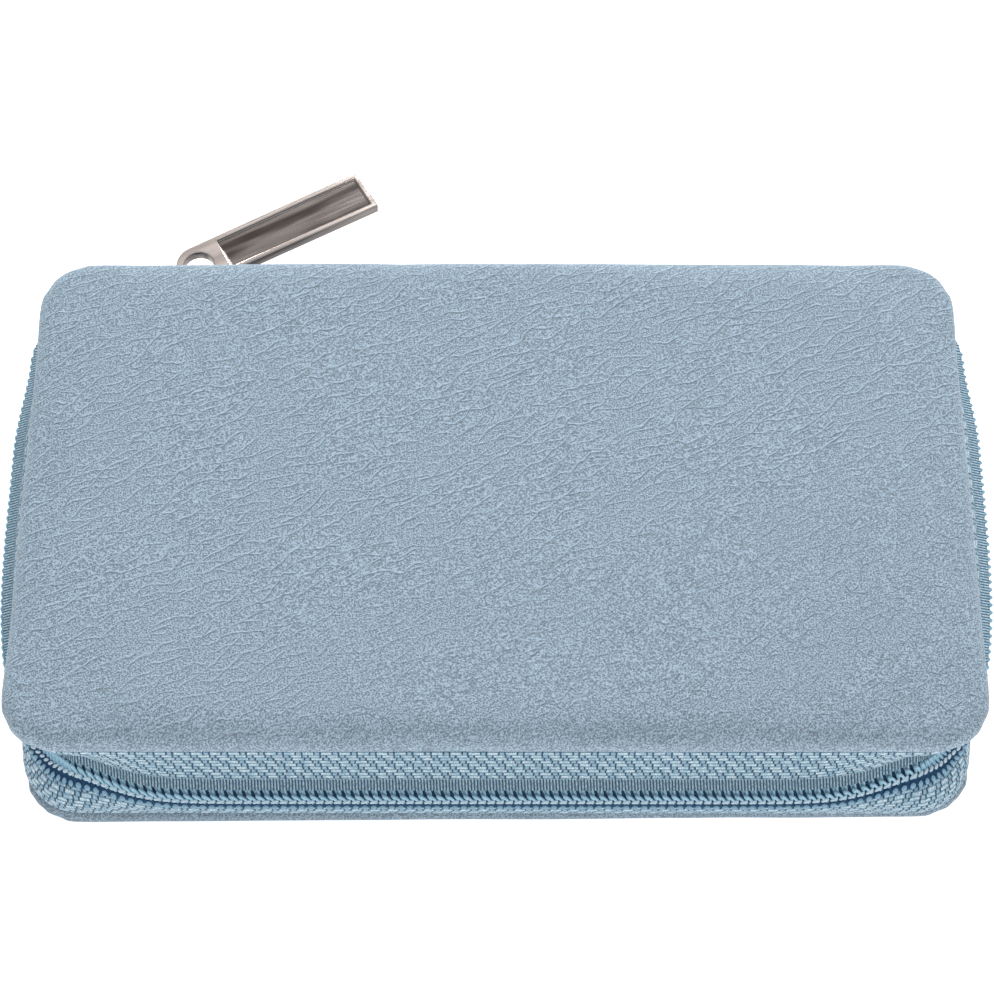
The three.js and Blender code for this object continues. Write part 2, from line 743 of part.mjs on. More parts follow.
function leverSolid() {
  const half = leverWidth / 2;
  const nose = leverWidth / 2;
  const thumb = leverLength - nose;
  const outline = points([
    [nose, -half / 2], [nose, half / 2], [0, half], [-thumb, half], [-leverLength, half / 2],
    [-leverLength, -half / 2], [-thumb, -half], [0, -half],
  ]);
  const bar = plate(outline, leverLow, leverHigh).translate(clipperX, clipperY, 0);
  return cut(bar, post(clipperX, clipperY, pinRadius + gap, leverLow - overrun, leverHigh + overrun));
}
addPart('clipper_lever', leverSolid(), 'steel');

// Tools in the lid. Their tops lie just under the lid's lining.
const lidToolTop = lidCeiling - gap;

// Nail file: a blade with an abrasive face and a moulded handle that grips its end
const tweezersWidth = 8;
const tweezersY = roomHalf - tweezersMargin - tweezersWidth / 2;
const fileHandleWidth = 9;
const fileY = tweezersY - tweezersWidth / 2 - fileSpacing - fileHandleWidth / 2;
const fileBladeEnd = 52;
const fileBladeStart = -14;
const fileHandleStart = -58;
const fileHandleEnd = -6;
const fileBladeWidth = 7;
const fileBladeThickness = 1.2;
const fileHandleThickness = 2.6;
const fileMiddle = lidToolTop - fileHandleThickness / 2;

function fileBlade() {
  const half = fileBladeWidth / 2;
  const outline = points([
    [fileBladeStart, -half], [fileBladeEnd - fileBladeWidth * 2, -half], [fileBladeEnd, -half / 4],
    [fileBladeEnd, half / 4], [fileBladeEnd - fileBladeWidth * 2, half], [fileBladeStart, half],
  ]);
  const low = fileMiddle - fileBladeThickness / 2;
  return plate(outline, low, low + fileBladeThickness).translate(0, fileY, 0);
}
addPart('file_blade', fileBlade(), 'grit');

function fileHandle() {
  const half = fileHandleWidth / 2;
  const outline = points([
    [fileHandleStart, -half / 2], [fileHandleStart + half, -half], [fileHandleEnd, -half],
    [fileHandleEnd, half], [fileHandleStart + half, half], [fileHandleStart, half / 2],
  ]);
  const low = fileMiddle - fileHandleThickness / 2;
  const body = plate(outline, low, low + fileHandleThickness);
  const grip = block(
    [fileBladeStart - gap, -fileBladeWidth / 2 - gap, fileMiddle - fileBladeThickness / 2 - gap],
    [fileHandleEnd + overrun, fileBladeWidth / 2 + gap, fileMiddle + fileBladeThickness / 2 + gap]);
  return cut(body, grip).translate(0, fileY, 0);
}
addPart('file_handle', fileHandle(), 'handle');

// Cuticle pusher: a turned steel rod with a flat spoon at one end and a point at the other
const pusherHalf = 50;
const pusherRadius = 2.2;
const pusherNeck = 1.2;
const pusherTip = 0.5;
const pusherTaper = 14;
const spoonLength = 9;
const spoonWidth = 5;
const spoonThickness = 1;
const pusherLevel = lidToolTop - spoonWidth / 2;
const pusherY = fileY - fileHandleWidth / 2 - pusherSpacing - spoonWidth / 2;

function pusherSolid() {
  const rod = new THREE.LatheGeometry(points([
    [0, -pusherHalf], [pusherTip, -pusherHalf], [pusherRadius, -pusherHalf + pusherTaper],
    [pusherRadius, pusherHalf - pusherTaper - spoonLength], [pusherNeck, pusherHalf - spoonLength],
    [0, pusherHalf - spoonLength],
  ]), postSides).rotateZ(-Math.PI / 2);
  const half = spoonWidth / 2;
  const neck = pusherHalf - spoonLength - pusherNeck;
  const spoon = plate(points([
    [neck, -pusherNeck], [pusherHalf - half, -half], [pusherHalf, -half / 2],
    [pusherHalf, half / 2], [pusherHalf - half, half], [neck, pusherNeck],
  ]), -spoonThickness / 2, spoonThickness / 2);
  return join(rod, spoon).translate(0, pusherY, pusherLevel);
}
addPart('cuticle_pusher', pusherSolid(), 'steel');

// Tweezers: one arm lies against the lid's lining, the other springs away from it
const tweezersRoot = -42;
const tweezersLength = 84;
const tweezersTipWidth = 3;
const armThickness = 1;
const armSpread = 4.6;
const armRoot = 9;

function tweezersArm(rootLevel, spread) {
  const tip = tweezersRoot + tweezersLength;
  const bend = tweezersRoot + armRoot;
  const arm = profileAcross(points([
    [tweezersRoot, rootLevel], [bend, rootLevel], [tip, rootLevel - spread],
    [tip, rootLevel - spread + armThickness], [bend, rootLevel + armThickness],
    [tweezersRoot, rootLevel + armThickness],
  ]), -tweezersWidth / 2, tweezersWidth / 2);
  const at = arm.getAttribute('position');
  for (let i = 0; i < at.count; i += 1) {
    if (at.getX(i) > bend + armThickness) {
      at.setY(i, at.getY(i) * (tweezersTipWidth / tweezersWidth));
    }
  }
  return facingOut(arm).translate(0, tweezersY, 0);
}
const heldArmLow = lidToolTop - armThickness;
const sprungArmLow = heldArmLow - gap - armThickness;
addPart('tweezers_held_arm', tweezersArm(heldArmLow, 0), 'steel');
addPart('tweezers_sprung_arm', tweezersArm(sprungArmLow, armSpread), 'steel');

// A strap: a band glued down on the lining, which rises over each tool that it holds.
// Each rise is [from, to, height], and up says which way the band stands off its lining.
const strap = 0.8;
const strapFoot = 3;
const strapWidth = 9;
const strapSlack = 0.5;

function strapSection(lining, up, rises) {
  const near = [];
  const far = [];
  const level = (height) => lining + up * height;
  near.push([rises[0][0] - strapFoot, level(0)]);
  far.push([rises[0][0] - strapFoot, level(strap)]);
  rises.forEach(([from, to, height]) => {
    near.push([from - strapSlack, level(0)], [from - strapSlack, level(height)],
      [to + strapSlack, level(height)], [to + strapSlack, level(0)]);
    far.push([from - strapSlack - strap, level(strap)], [from - strapSlack - strap, level(height + strap)],
      [to + strapSlack + strap, level(height + strap)], [to + strapSlack + strap, level(strap)]);
  });
  const last = rises[rises.length - 1][1];
  near.push([last + strapFoot, level(0)]);
  far.push([last + strapFoot, level(strap)]);
  return points([...near, ...far.reverse()]);
}

function strapSolid(x, lining, up, rises) {
  return facingOut(sectionAlong(strapSection(lining, up, rises), x - strapWidth / 2, x + strapWidth / 2));
}

const scissorsStrapReach = 15;
const shankSlope = ringAside / (ringReach - ringBend - ringStretch);
const shankAt = (reach) => scissorsY + shankSlope * reach;
addPart('scissors_strap', strapSolid(scissorsX - scissorsStrapReach, baseFloor + gap, 1,
  [[shankAt(scissorsStrapReach - strapWidth / 2) - shankWidth,
    shankAt(scissorsStrapReach + strapWidth / 2) + shankWidth, halfThickness + gap]]), 'leather');

const clipperStrapReach = leafTail / 2;
const leafTopAt = (x) => THREE.MathUtils.mapLinear(x, rivetX + rivetHeadRadius, leafNose - 2 * leaf,
  leafTailLevel + leaf, leafFrontLevel + noseRise + leaf);
addPart('clipper_strap', strapSolid(clipperX - clipperStrapReach, clipperLow, 1,
  [[clipperY - clipperWidth / 2, clipperY + clipperWidth / 2,
    leafTopAt(strapWidth / 2 - clipperStrapReach) + gap - clipperLow]]), 'leather');

const leftStrapX = -28;
const rightStrapX = 26;
const fileRise = [fileY - fileHandleWidth / 2, fileY + fileHandleWidth / 2, fileHandleThickness + gap];
const pusherRise = [pusherY - spoonWidth / 2, pusherY + spoonWidth / 2, spoonWidth / 2 + pusherRadius + gap];
const tweezersRise = [tweezersY - tweezersWidth / 2, tweezersY + tweezersWidth / 2,
  2 * armThickness + gap + armSpread / 2];
const leftRises = [pusherRise, fileRise, tweezersRise];
addPart('lid_strap_left', strapSolid(leftStrapX, lidToolTop, -1, leftRises), 'leather');
addPart('lid_strap_right', strapSolid(rightStrapX, lidToolTop, -1, leftRises.slice(0, 2)), 'leather');

export default group;
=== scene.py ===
# %% [markdown]
# A zipped manicure case in pebbled leatherette.
# The case is two stiff panels wrapped in one padded skin, joined at the back by a spine and
# all round by a zip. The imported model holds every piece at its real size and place. The cells
# below dress it: they make the finishes first, and then the pieces around that fixed frame.
# Blender works in metres, so the case's sizes are numbers of millimetres times MM.

# %% The frame and the units
import math

import bmesh
import bpy
from mathutils import Matrix, Vector, noise


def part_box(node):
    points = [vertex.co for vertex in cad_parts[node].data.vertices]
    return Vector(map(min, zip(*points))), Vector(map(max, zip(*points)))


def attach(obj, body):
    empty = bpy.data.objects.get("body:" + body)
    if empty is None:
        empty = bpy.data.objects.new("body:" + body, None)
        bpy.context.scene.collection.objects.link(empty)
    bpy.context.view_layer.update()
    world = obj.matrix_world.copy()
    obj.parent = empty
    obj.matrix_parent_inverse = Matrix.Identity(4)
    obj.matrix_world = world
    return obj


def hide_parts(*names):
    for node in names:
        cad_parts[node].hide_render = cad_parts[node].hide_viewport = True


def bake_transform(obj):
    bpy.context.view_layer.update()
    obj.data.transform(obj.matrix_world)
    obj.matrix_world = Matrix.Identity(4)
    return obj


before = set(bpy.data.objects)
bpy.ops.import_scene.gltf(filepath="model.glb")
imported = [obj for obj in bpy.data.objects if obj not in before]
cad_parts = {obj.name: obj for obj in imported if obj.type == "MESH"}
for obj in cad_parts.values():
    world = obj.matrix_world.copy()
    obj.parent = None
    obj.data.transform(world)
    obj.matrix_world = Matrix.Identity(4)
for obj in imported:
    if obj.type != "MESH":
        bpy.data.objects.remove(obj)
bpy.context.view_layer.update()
MM = 0.001

# %% [markdown]
# The camera stands where the photographer stood: above the front edge, looking down at about
# sixty degrees. Its lens and distance were fitted to the case's outline. The camera's three
# axes are worked out from the angles, so that a small roll can be added at the end.

# %% The camera
camera_lens = 103.4
camera_sensor = 36
camera_elevation = math.radians(59.8)
camera_yaw = math.radians(0.7)
camera_roll = math.radians(-0.6)
camera_distance = 450.8 * MM
camera_aim = 15.2 * MM
camera_target = Vector((0, camera_aim, 0))


def add_camera():
    """A camera at the photograph's viewing angle."""
    data = bpy.data.cameras.new("camera")
    data.sensor_width = camera_sensor
    data.lens = camera_lens
    level = math.cos(camera_elevation)
    back = Vector((math.sin(camera_yaw) * level, -math.cos(camera_yaw) * level, math.sin(camera_elevation)))
    right = Vector((math.cos(camera_yaw), math.sin(camera_yaw), 0))
    up = back.cross(right)
    rolled_right = right * math.cos(camera_roll) + up * math.sin(camera_roll)
    rolled_up = up * math.cos(camera_roll) - right * math.sin(camera_roll)
    axes = Matrix((rolled_right, rolled_up, back)).transposed().to_4x4()
    camera = bpy.data.objects.new("camera", data)
    camera.matrix_world = Matrix.Translation(camera_target + back * camera_distance) @ axes
    bpy.context.scene.collection.objects.link(camera)
    bpy.context.scene.camera = camera
    return camera


camera = add_camera()
print("camera at", [round(place / MM) for place in camera.location], "mm")

# %% [markdown]
# Shader maths reads best as plain Python. A Wire holds one socket of a material, and Python's
# own signs on it add the Math nodes. A Finish holds one material, and its node method adds any
# other node: first the node's settings, then the values or links of its sockets.

# %% Shader maths as Python expressions
# A Mix node has sockets for every kind of value. These are its two colours and their result.
mix_colors = slice(6, 8)
mix_result = 2


class Wire:
    """One socket of a finish, on which arithmetic builds Math nodes."""

    def __init__(self, finish, socket):
        self.finish = finish
        self.socket = socket

    def maths(self, operation, *values):
        return self.finish.node("ShaderNodeMath", {"operation": operation}, dict(enumerate(values)))

    def __add__(self, other):
        return self.maths("ADD", self, other)

    def __radd__(self, other):
        return self.maths("ADD", other, self)

    def __sub__(self, other):
        return self.maths("SUBTRACT", self, other)

    def __rsub__(self, other):
        return self.maths("SUBTRACT", other, self)

    def __mul__(self, other):
        return self.maths("MULTIPLY", self, other)

    def __rmul__(self, other):
        return self.maths("MULTIPLY", other, self)

    def __truediv__(self, other):
        return self.maths("DIVIDE", self, other)

    def __mod__(self, other):
        return self.maths("FLOORED_MODULO", self, other)

    def __pow__(self, other):
        return self.maths("POWER", self, other)

    def __abs__(self):
        return self.maths("ABSOLUTE", self)


class Finish:
    """One material: a principled shader and the nodes that feed it."""

    def __init__(self, name, color, roughness, **constants):
        self.material = bpy.data.materials.new(name)
        self.material.use_nodes = True
        self.tree = self.material.node_tree
        self.shader = self.tree.nodes["Principled BSDF"]
        self.shader.inputs["Base Color"].default_value = (*color, 1)
        self.shader.inputs["Roughness"].default_value = roughness
        for socket_name, value in constants.items():
            self.shader.inputs[socket_name.replace("_", " ")].default_value = value

    def node(self, kind, settings=None, sockets=None, output=0):
        """Adds a node, with its settings first and then its sockets' values or links."""
        made = self.tree.nodes.new(kind)
        for name, value in (settings or {}).items():
            setattr(made, name, value)
        for name, value in (sockets or {}).items():
            if isinstance(value, Wire):
                self.tree.links.new(value.socket, made.inputs[name])
            else:
                made.inputs[name].default_value = value
        return Wire(self, made.outputs[output])

    def feed(self, name, wire):
        """Links a wire to a socket of the principled shader."""
        self.tree.links.new(wire.socket, self.shader.inputs[name])

    def place(self):
        """Where a point lies on its own object, in metres."""
        return self.node("ShaderNodeTexCoord", output="Object")

    def axes(self, vector):
        """The three numbers of a vector."""
        split = self.node("ShaderNodeSeparateXYZ", sockets={0: vector})
        return [Wire(self, output) for output in split.socket.node.outputs]

    def noise(self, vector, scale, detail=2.0, output=0):
        """Soft noise. Its scale is one over the size of its patches."""
        sockets = {"Vector": vector, "Scale": scale, "Detail": detail}
        return self.node("ShaderNodeTexNoise", sockets=sockets, output=output)

    def step(self, value, low, high):
        """A soft step from 0 at low to 1 at high."""
        return self.node("ShaderNodeMapRange", {"interpolation_type": "SMOOTHSTEP"},
                         {"Value": value, "From Min": low, "From Max": high})

    def blend(self, factor, first, second):
        """A colour between two colours."""
        made = self.node("ShaderNodeMix", {"data_type": "RGBA"}, {"Factor": factor})
        for socket, value in zip(made.socket.node.inputs[mix_colors], (first, second)):
            if isinstance(value, Wire):
                self.tree.links.new(value.socket, socket)
            else:
                socket.default_value = (*value, 1)
        return Wire(self, made.socket.node.outputs[mix_result])

    def tones(self, factor, color, low, high):
        """A blend between a darker and a lighter shade of one colour."""
        return self.blend(factor, shaded(color, low), shaded(color, high))

    def relief(self, height, depth):
        """Feeds the normal with a bump as deep as the depth where the height runs from 0 to 1."""
        self.feed("Normal", self.node("ShaderNodeBump", sockets={"Height": height, "Distance": depth}))


def srgb(red, green, blue):
    """A colour picked on the screen, from 0 to 255, as the linear light Blender works in."""
    def linear(value):
        share = value / 255
        return share / 12.92 if share <= 0.04045 else ((share + 0.055) / 1.055) ** 2.4
    return (linear(red), linear(green), linear(blue))


def shaded(color, share):
    """A colour made darker or lighter by a share."""
    return tuple(channel * share for channel in color)


def between(ends, share):
    """A number on the way from one end to the other."""
    return ends[0] + share * (ends[1] - ends[0])


finishes = {}
print("shader helpers ready")

# %% [markdown]
# The floor is a plain white sheet that glows a little, as on a light table, so the case throws
# almost no shadow. The rest of the light is a white studio: a bright even sky, a soft lamp
# behind, which brings out the grain's relief, and a weaker one in front.

# %% The floor and the lights
# The studio's own sizes are in metres
floor_size = 4.0
sky_strength = 0.55
glow_strength = 0.6
lamp_reach = 2.0
lamp_size = 0.6
floor_color = srgb(250, 250, 250)
# Each lamp's azimuth and elevation in degrees, and its power in watts
lamps = {"back_lamp": (176, 37, 31), "front_lamp": (12, 32, 10)}


def add_floor():
    """A wide pale floor under the case."""
    bm = bmesh.new()
    bmesh.ops.create_grid(bm, x_segments=1, y_segments=1, size=floor_size / 2)
    mesh = bpy.data.meshes.new("floor")
    bm.to_mesh(mesh)
    bm.free()
    floor = bpy.data.objects.new("floor", mesh)
    bpy.context.scene.collection.objects.link(floor)
    paper = Finish("pale_floor", floor_color, 0.9, Emission_Color=(1, 1, 1, 1),
                   Emission_Strength=glow_strength)
    mesh.materials.append(paper.material)


def add_lamp(name, azimuth, elevation, power):
    """A square soft lamp that looks at the middle of the case."""
    data = bpy.data.lights.new(name, "AREA")
    data.size = lamp_size
    data.energy = power
    lamp = bpy.data.objects.new(name, data)
    flat = math.cos(elevation)
    away = Vector((math.sin(azimuth) * flat, -math.cos(azimuth) * flat, math.sin(elevation)))
    turned = away.to_track_quat("Z", "Y").to_matrix().to_4x4()
    lamp.matrix_world = Matrix.Translation(away * lamp_reach) @ turned
    bpy.context.scene.collection.objects.link(lamp)


def add_sky():
    """A plain white sky."""
    world = bpy.data.worlds.new("studio")
    world.use_nodes = True
    sky = world.node_tree.nodes["Background"]
    sky.inputs["Color"].default_value = (1, 1, 1, 1)
    sky.inputs["Strength"].default_value = sky_strength
    bpy.context.scene.world = world


add_floor()
add_sky()
for name, (azimuth, elevation, power) in lamps.items():
    add_lamp(name, math.radians(azimuth), math.radians(elevation), power)
bpy.context.scene.view_settings.view_transform = "Standard"
print("stage set")

# %% [markdown]
# The skin is a coated fabric embossed with a leather grain. The grain fades where the skin is
# pulled tight round the panel's edge, so the finish works out how far inside the rounded
# outline a point lies. The outline comes from the frame's box and the radius of its corners.

# %% How deep a point lies inside the outline
corner_radius = 9 * MM
half_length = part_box("lid_cover")[1].x
half_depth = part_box("lid_cover")[1].y
corner_x = half_length - corner_radius
corner_y = half_depth - corner_radius


def inside_outline(finish, place):
    """How deep a point lies inside the rounded outline, in metres."""
    x, y, _ = finish.axes(place)
    beyond_x = abs(x) - corner_x
    beyond_y = abs(y) - corner_y
    out_x = beyond_x.maths("MAXIMUM", beyond_x, 0)
    out_y = beyond_y.maths("MAXIMUM", beyond_y, 0)
    outside = (out_x * out_x + out_y * out_y) ** 0.5
    nearest = beyond_x.maths("MAXIMUM", beyond_x, beyond_y)
    return corner_radius - outside - nearest.maths("MINIMUM", nearest, 0)


print("panels", round(2 * half_length / MM, 1), "by", round(2 * half_depth / MM, 1), "mm")

# %% [markdown]
# A Voronoi texture draws the long pebbles along the front, and noise breaks the grooves between
# them. Towards the back left the grooves are long creases: two families of wavering lines that
# cross at a shallow angle. Each groove is drawn twice into the colour, as a painted highlight,
# and as a painted shade a little in front of that, as if it were lit from behind.

# %% The lines of the grain
pebble_size = 1.6 * MM
pebble_stretch = 1.8
pebble_turn = math.radians(42)
pebble_breaks = (0.38, 0.54)
# Each family's direction and the spacing of its lines
crease_families = ((math.radians(14), 1.6 * MM), (math.radians(40), 2.3 * MM))
crease_bend = 4 * MM
crease_sway = 1.9
crease_gap = 2.6 * MM
crease_breaks = (0.4, 0.52)
crease_start = -36 * MM
crease_full = -8 * MM
crease_slant = 0.35
wrinkle_size = 0.7 * MM
wrinkle_stretch = 1.9
wrinkle_turn = math.radians(27)
wrinkle_weight = 0.22
groove_shade = 0.27 * MM
sway_size = 6 * MM
sway_reach = 1.4 * MM
jitter_size = 0.7 * MM
jitter_reach = 0.24 * MM
patch_size = 22 * MM
patch_reach = 50 * MM
# Where a line begins to fade and where it ends, in shares of a cell or of the lines' spacing
pebble_line = (0.015, 0.07)
crease_line = (0.025, 0.085)
wrinkle_line = (0.03, 0.11)
# How strong the creases, the painted shade and the painted highlight are in front and at the back
crease_weights = (0.45, 1)
painted_shade_weights = (0.7, 0.75)
painted_highlight_weights = (0.35, 0.85)


def cells(finish, place, size, stretch, turn):
    """How far a point is from the groove between two stretched cells, in shares of a cell."""
    turned = finish.node("ShaderNodeMapping", {"vector_type": "TEXTURE"},
                         {"Vector": place, "Rotation": (0, 0, turn), "Scale": (stretch, 1, 1)})
    return finish.node("ShaderNodeTexVoronoi", {"feature": "DISTANCE_TO_EDGE", "voronoi_dimensions": "2D"},
                       {"Vector": turned, "Scale": 1 / size})


def wavering(finish, place, size, reach):
    """The place, moved a little this way and that."""
    sway = finish.noise(place, 1 / size, output="Color")
    centred = finish.node("ShaderNodeVectorMath", {"operation": "SUBTRACT"}, {0: sway, 1: (0.5, 0.5, 0.5)})
    return finish.node("ShaderNodeVectorMath", {"operation": "MULTIPLY_ADD"},
                       {0: centred, 1: (reach, reach, reach), 2: place})


def crease_lines(finish, place, turn, spacing):
    """Long wavering lines at an angle, broken here and there: 1 on a line."""
    x, y, _ = finish.axes(place)
    across = y * math.cos(turn) - x * math.sin(turn)
    sway = finish.noise(place, 1 / (crease_bend * (1 + turn)))
    phase = (across / spacing + sway * crease_sway) % 1
    kept = finish.step(finish.noise(place, 1 / (crease_gap * (1 + turn))), *crease_breaks)
    return (1 - finish.step(abs(phase - 0.5), *crease_line)) * kept


def grooves(finish, place, backwards):
    """The grooves of the grain, 1 on a groove: pebbles in front, and creases towards the back left."""
    pebbles = cells(finish, place, pebble_size, pebble_stretch, pebble_turn)
    between_pebbles = 1 - finish.step(pebbles, *pebble_line)
    broken = finish.step(finish.noise(place, 1 / crease_gap), *pebble_breaks)
    first, second = [crease_lines(finish, place, *family) for family in crease_families]
    creases = first.maths("MAXIMUM", first, second)
    return between_pebbles * broken * (1 - backwards) + creases * between(crease_weights, backwards)


def leather_grain(finish, place):
    """The grain's painted shade and painted highlight: the shaded and the lit side of each groove."""
    swayed = wavering(finish, wavering(finish, place, sway_size, sway_reach), jitter_size, jitter_reach)
    shaded_side = finish.node("ShaderNodeVectorMath", {"operation": "ADD"},
                              {0: swayed, 1: (0, groove_shade, 0)})
    x, y, _ = finish.axes(place)
    patches = finish.noise(place, 1 / patch_size) - 0.5
    backwards = finish.step(y - x * crease_slant + patches * patch_reach, crease_start, crease_full)
    wrinkles = cells(finish, swayed, wrinkle_size, wrinkle_stretch, wrinkle_turn)
    fine_line = 1 - finish.step(wrinkles, *wrinkle_line)
    dark = grooves(finish, shaded_side, backwards) * between(painted_shade_weights, backwards)
    pale = grooves(finish, swayed, backwards) * between(painted_highlight_weights, backwards) + fine_line * wrinkle_weight
    return dark, pale


print("grain lines ready,", round(pebble_size / MM, 1), "mm pebbles")

# %% [markdown]
# The finish lays the lines over fine specks and slow patches of tone: the pale lines are a
# painted highlight and the dark lines a painted shade. The same lines and specks also give the
# relief. The spine stands upright, so there the pattern is turned up by a Mapping node. The
# straps are cut from the same skin, pressed smoother.

# %% The leather finishes
leather_color = srgb(139, 158, 173)
leather_specular = 0.35
leather_roughness = 0.5
speck_roughness = 0.2
speck_size = 0.24 * MM
speck_edges = (0.37, 0.63)
speck_tones = (0.5, 1.62)
speck_share = 0.8
mottle_size = 14 * MM
mottle_tones = (0.97, 1.03)
uneven_size = 1.6 * MM
uneven_edges = (0.35, 0.6)
uneven_weights = (0.65, 1)
line_share = 0.75
# The tones of the painted shade and the painted highlight on the grain's lines
painted_shade_tone = 0.5
painted_highlight_tone = 1.9
grain_depth = 0.2 * MM
middle_height = 0.4
line_height = 0.35
speck_height = 0.25
rim_start = 0.1 * MM
smooth_rim = 1.1 * MM


def make_leather(name, color, smooth_share, upright=False):
    """Leatherette that is smooth at the outline of the case, or an upright strip grained all over."""
    finish = Finish(name, color, leather_roughness + speck_roughness / 2, Specular_IOR_Level=leather_specular)
    place = finish.place()
    uneven = between(uneven_weights, finish.step(finish.noise(place, 1 / uneven_size), *uneven_edges))
    grained = uneven * (1 - smooth_share)
    if upright:
        place = finish.node("ShaderNodeMapping", sockets={"Vector": place, "Rotation": (math.pi / 2, 0, 0)})
    else:
        grained = grained * finish.step(inside_outline(finish, place), rim_start, smooth_rim)
    dark, pale = leather_grain(finish, place)
    specks = finish.step(finish.noise(place, 1 / speck_size, 1), *speck_edges)
    finish.relief(middle_height + (pale - dark) * grained * line_height + specks * speck_height, grain_depth)
    tone = finish.tones(finish.noise(place, 1 / mottle_size, 4), color, *mottle_tones)
    specked = finish.blend(speck_share, tone, finish.tones(specks, color, *speck_tones))
    # Painted highlight on the pale lines, and painted shade on the dark lines
    lit = finish.blend(pale * grained * line_share, specked, shaded(color, painted_highlight_tone))
    finish.feed("Base Color", finish.blend(dark * grained * line_share, lit, shaded(color, painted_shade_tone)))
    finish.feed("Roughness", leather_roughness + specks * speck_roughness)
    finishes[name] = finish.material


make_leather("case_leather", leather_color, 0)
# The base's leather is the same skin painted darker: painted shade, as if from the lid above it
make_leather("base_leather_painted_shade", shaded(leather_color, 0.84), 0)
make_leather("spine_leather", leather_color, 0.15, upright=True)
make_leather("strap_leather", shaded(leather_color, 0.94), 0.55)
print(len(finishes), "leather finishes")

# %% [markdown]
# The tape is a twill of thick floats, two rows of which read like small bricks, with a comb of
# fine loops along the edge by the coil. A UV map called weave holds the distance along the
# tape and across it, in millimetres, so that the pattern follows the tape round every corner.
# The sizes of the pattern are therefore plain numbers of millimetres.

# %% The woven tape
tape_color = srgb(133, 171, 192)
# The painted shade in the weave's hollows, and the painted highlight on its crowns
tape_painted_shade = srgb(22, 62, 96)
tape_painted_highlight = srgb(230, 242, 247)
# Painted shade on the sewn tape's edge, which lies behind the coil
painted_shade_blue = srgb(18, 70, 108)
brick_length = 2.62
row_height = 0.72
pair_shift = 0.46
yarn_shift = 0.12
yarn_end = 0.06
float_shares = (0.02, 0.67)
knot_shares = (0.69, 0.99)
knot_height = 0.75
comb_pitch = 0.45
comb_reach = 1.25
comb_heights = (0.14, 0.8)
sewn_reach = 2.55
edge_blur = 0.2
weave_depth = 0.35 * MM


def yarn(finish, in_brick, start, end):
    """1 between two shares of a brick's length, with soft ends."""
    return (finish.step(in_brick, start, start + yarn_end)
            * finish.step(1 - in_brick, 1 - end, 1 - end + yarn_end))


def woven(finish, comb_edge):
    """The weave's height from 0 to 1. Its edge by the coil is a comb of loops, or sewn down."""
    weave = finish.node("ShaderNodeUVMap", {"uv_map": "weave"})
    along, across, _ = finish.axes(weave)
    wobble = finish.noise(weave, 1.1, 3) - 0.5
    rise = (across + wobble * 0.32) / row_height
    row = rise.maths("FLOOR", rise)
    pair = rise.maths("FLOOR", row / 2)
    in_row = rise % 1
    in_brick = (along / brick_length + (pair % 2) * pair_shift + (row % 2) * yarn_shift + wobble * 0.15) % 1
    long_float = yarn(finish, in_brick, *float_shares)
    knot = yarn(finish, in_brick, *knot_shares) * knot_height
    rounded = finish.step(0.5 - abs(in_row - 0.5), 0.0, 0.32)
    worn = finish.step(finish.noise(weave, 0.9, 2), 0.3, 0.62)
    bricks = (long_float + knot) * between((0.42, 1), rounded) * between((0.7, 1), worn)
    fibre = finish.noise(weave, 5, 3)
    if comb_edge:
        loops = abs(((along + across * 0.1 + wobble * 0.12) / comb_pitch) % 1 - 0.5) * 2
        edge = 1 - finish.step(across + wobble * 0.7, comb_reach - edge_blur, comb_reach + edge_blur)
        edging = between(comb_heights, finish.step(loops, 0.1, 0.65))
    else:
        edge = 1 - finish.step(across + wobble * 0.2, sewn_reach - edge_blur, sewn_reach + edge_blur)
        edging = fibre * 0.2
    return bricks * (1 - edge) + edging * edge, fibre, edge


def make_tape(name, color, dark, light, comb_edge):
    """Woven tape, with painted shade between its yarns and a painted highlight on their crowns."""
    finish = Finish(name, color, 0.8, Sheen_Weight=0.15)
    height, fibre, edge = woven(finish, comb_edge)
    finish.relief(height * 0.8 + fibre * 0.2, weave_depth)
    fibres = finish.step(fibre, 0.3, 0.7)
    body = finish.tones(fibres, color, 0.7, 1.2)
    # Painted highlight on the crowns, and painted shade where the weave is low
    lit = finish.blend(finish.step(height, 0.62, 1) * fibres, body, light)
    cloth = finish.blend(finish.step(height, 0.05, 0.5), dark, lit)
    # The sewn tape's edge by the coil gets painted shade in deep blue
    finish.feed("Base Color", cloth if comb_edge else finish.blend(edge, cloth, painted_shade_blue))
    finishes[name] = finish.material


make_tape("zip_tape", tape_color, tape_painted_shade, tape_painted_highlight, True)
make_tape("sewn_tape", tape_color, tape_painted_shade, tape_painted_highlight, False)
print("woven tape ready")

# %% [markdown]
# The coil is dyed nylon, glossy but never mirror-like. The stitching that holds it is a paler
# and duller thread with a rougher surface.

# %% The nylon coil and the thread
roughness_spread = 0.12
# Colour, roughness, the two tones of the patches, and then in millimetres the size of the patches
# and the depth and the size of the bump
nylon_finishes = {
    "zip_coil": (srgb(148, 188, 208), 0.38, (0.8, 1.2), 1.2, 0.04, 0.3),
    "coil_turns": (srgb(132, 172, 196), 0.38, (0.8, 1.2), 1.2, 0.04, 0.3),
    "stitch_thread": (srgb(188, 208, 220), 0.75, (0.85, 1.15), 0.6, 0.12, 0.18),
}


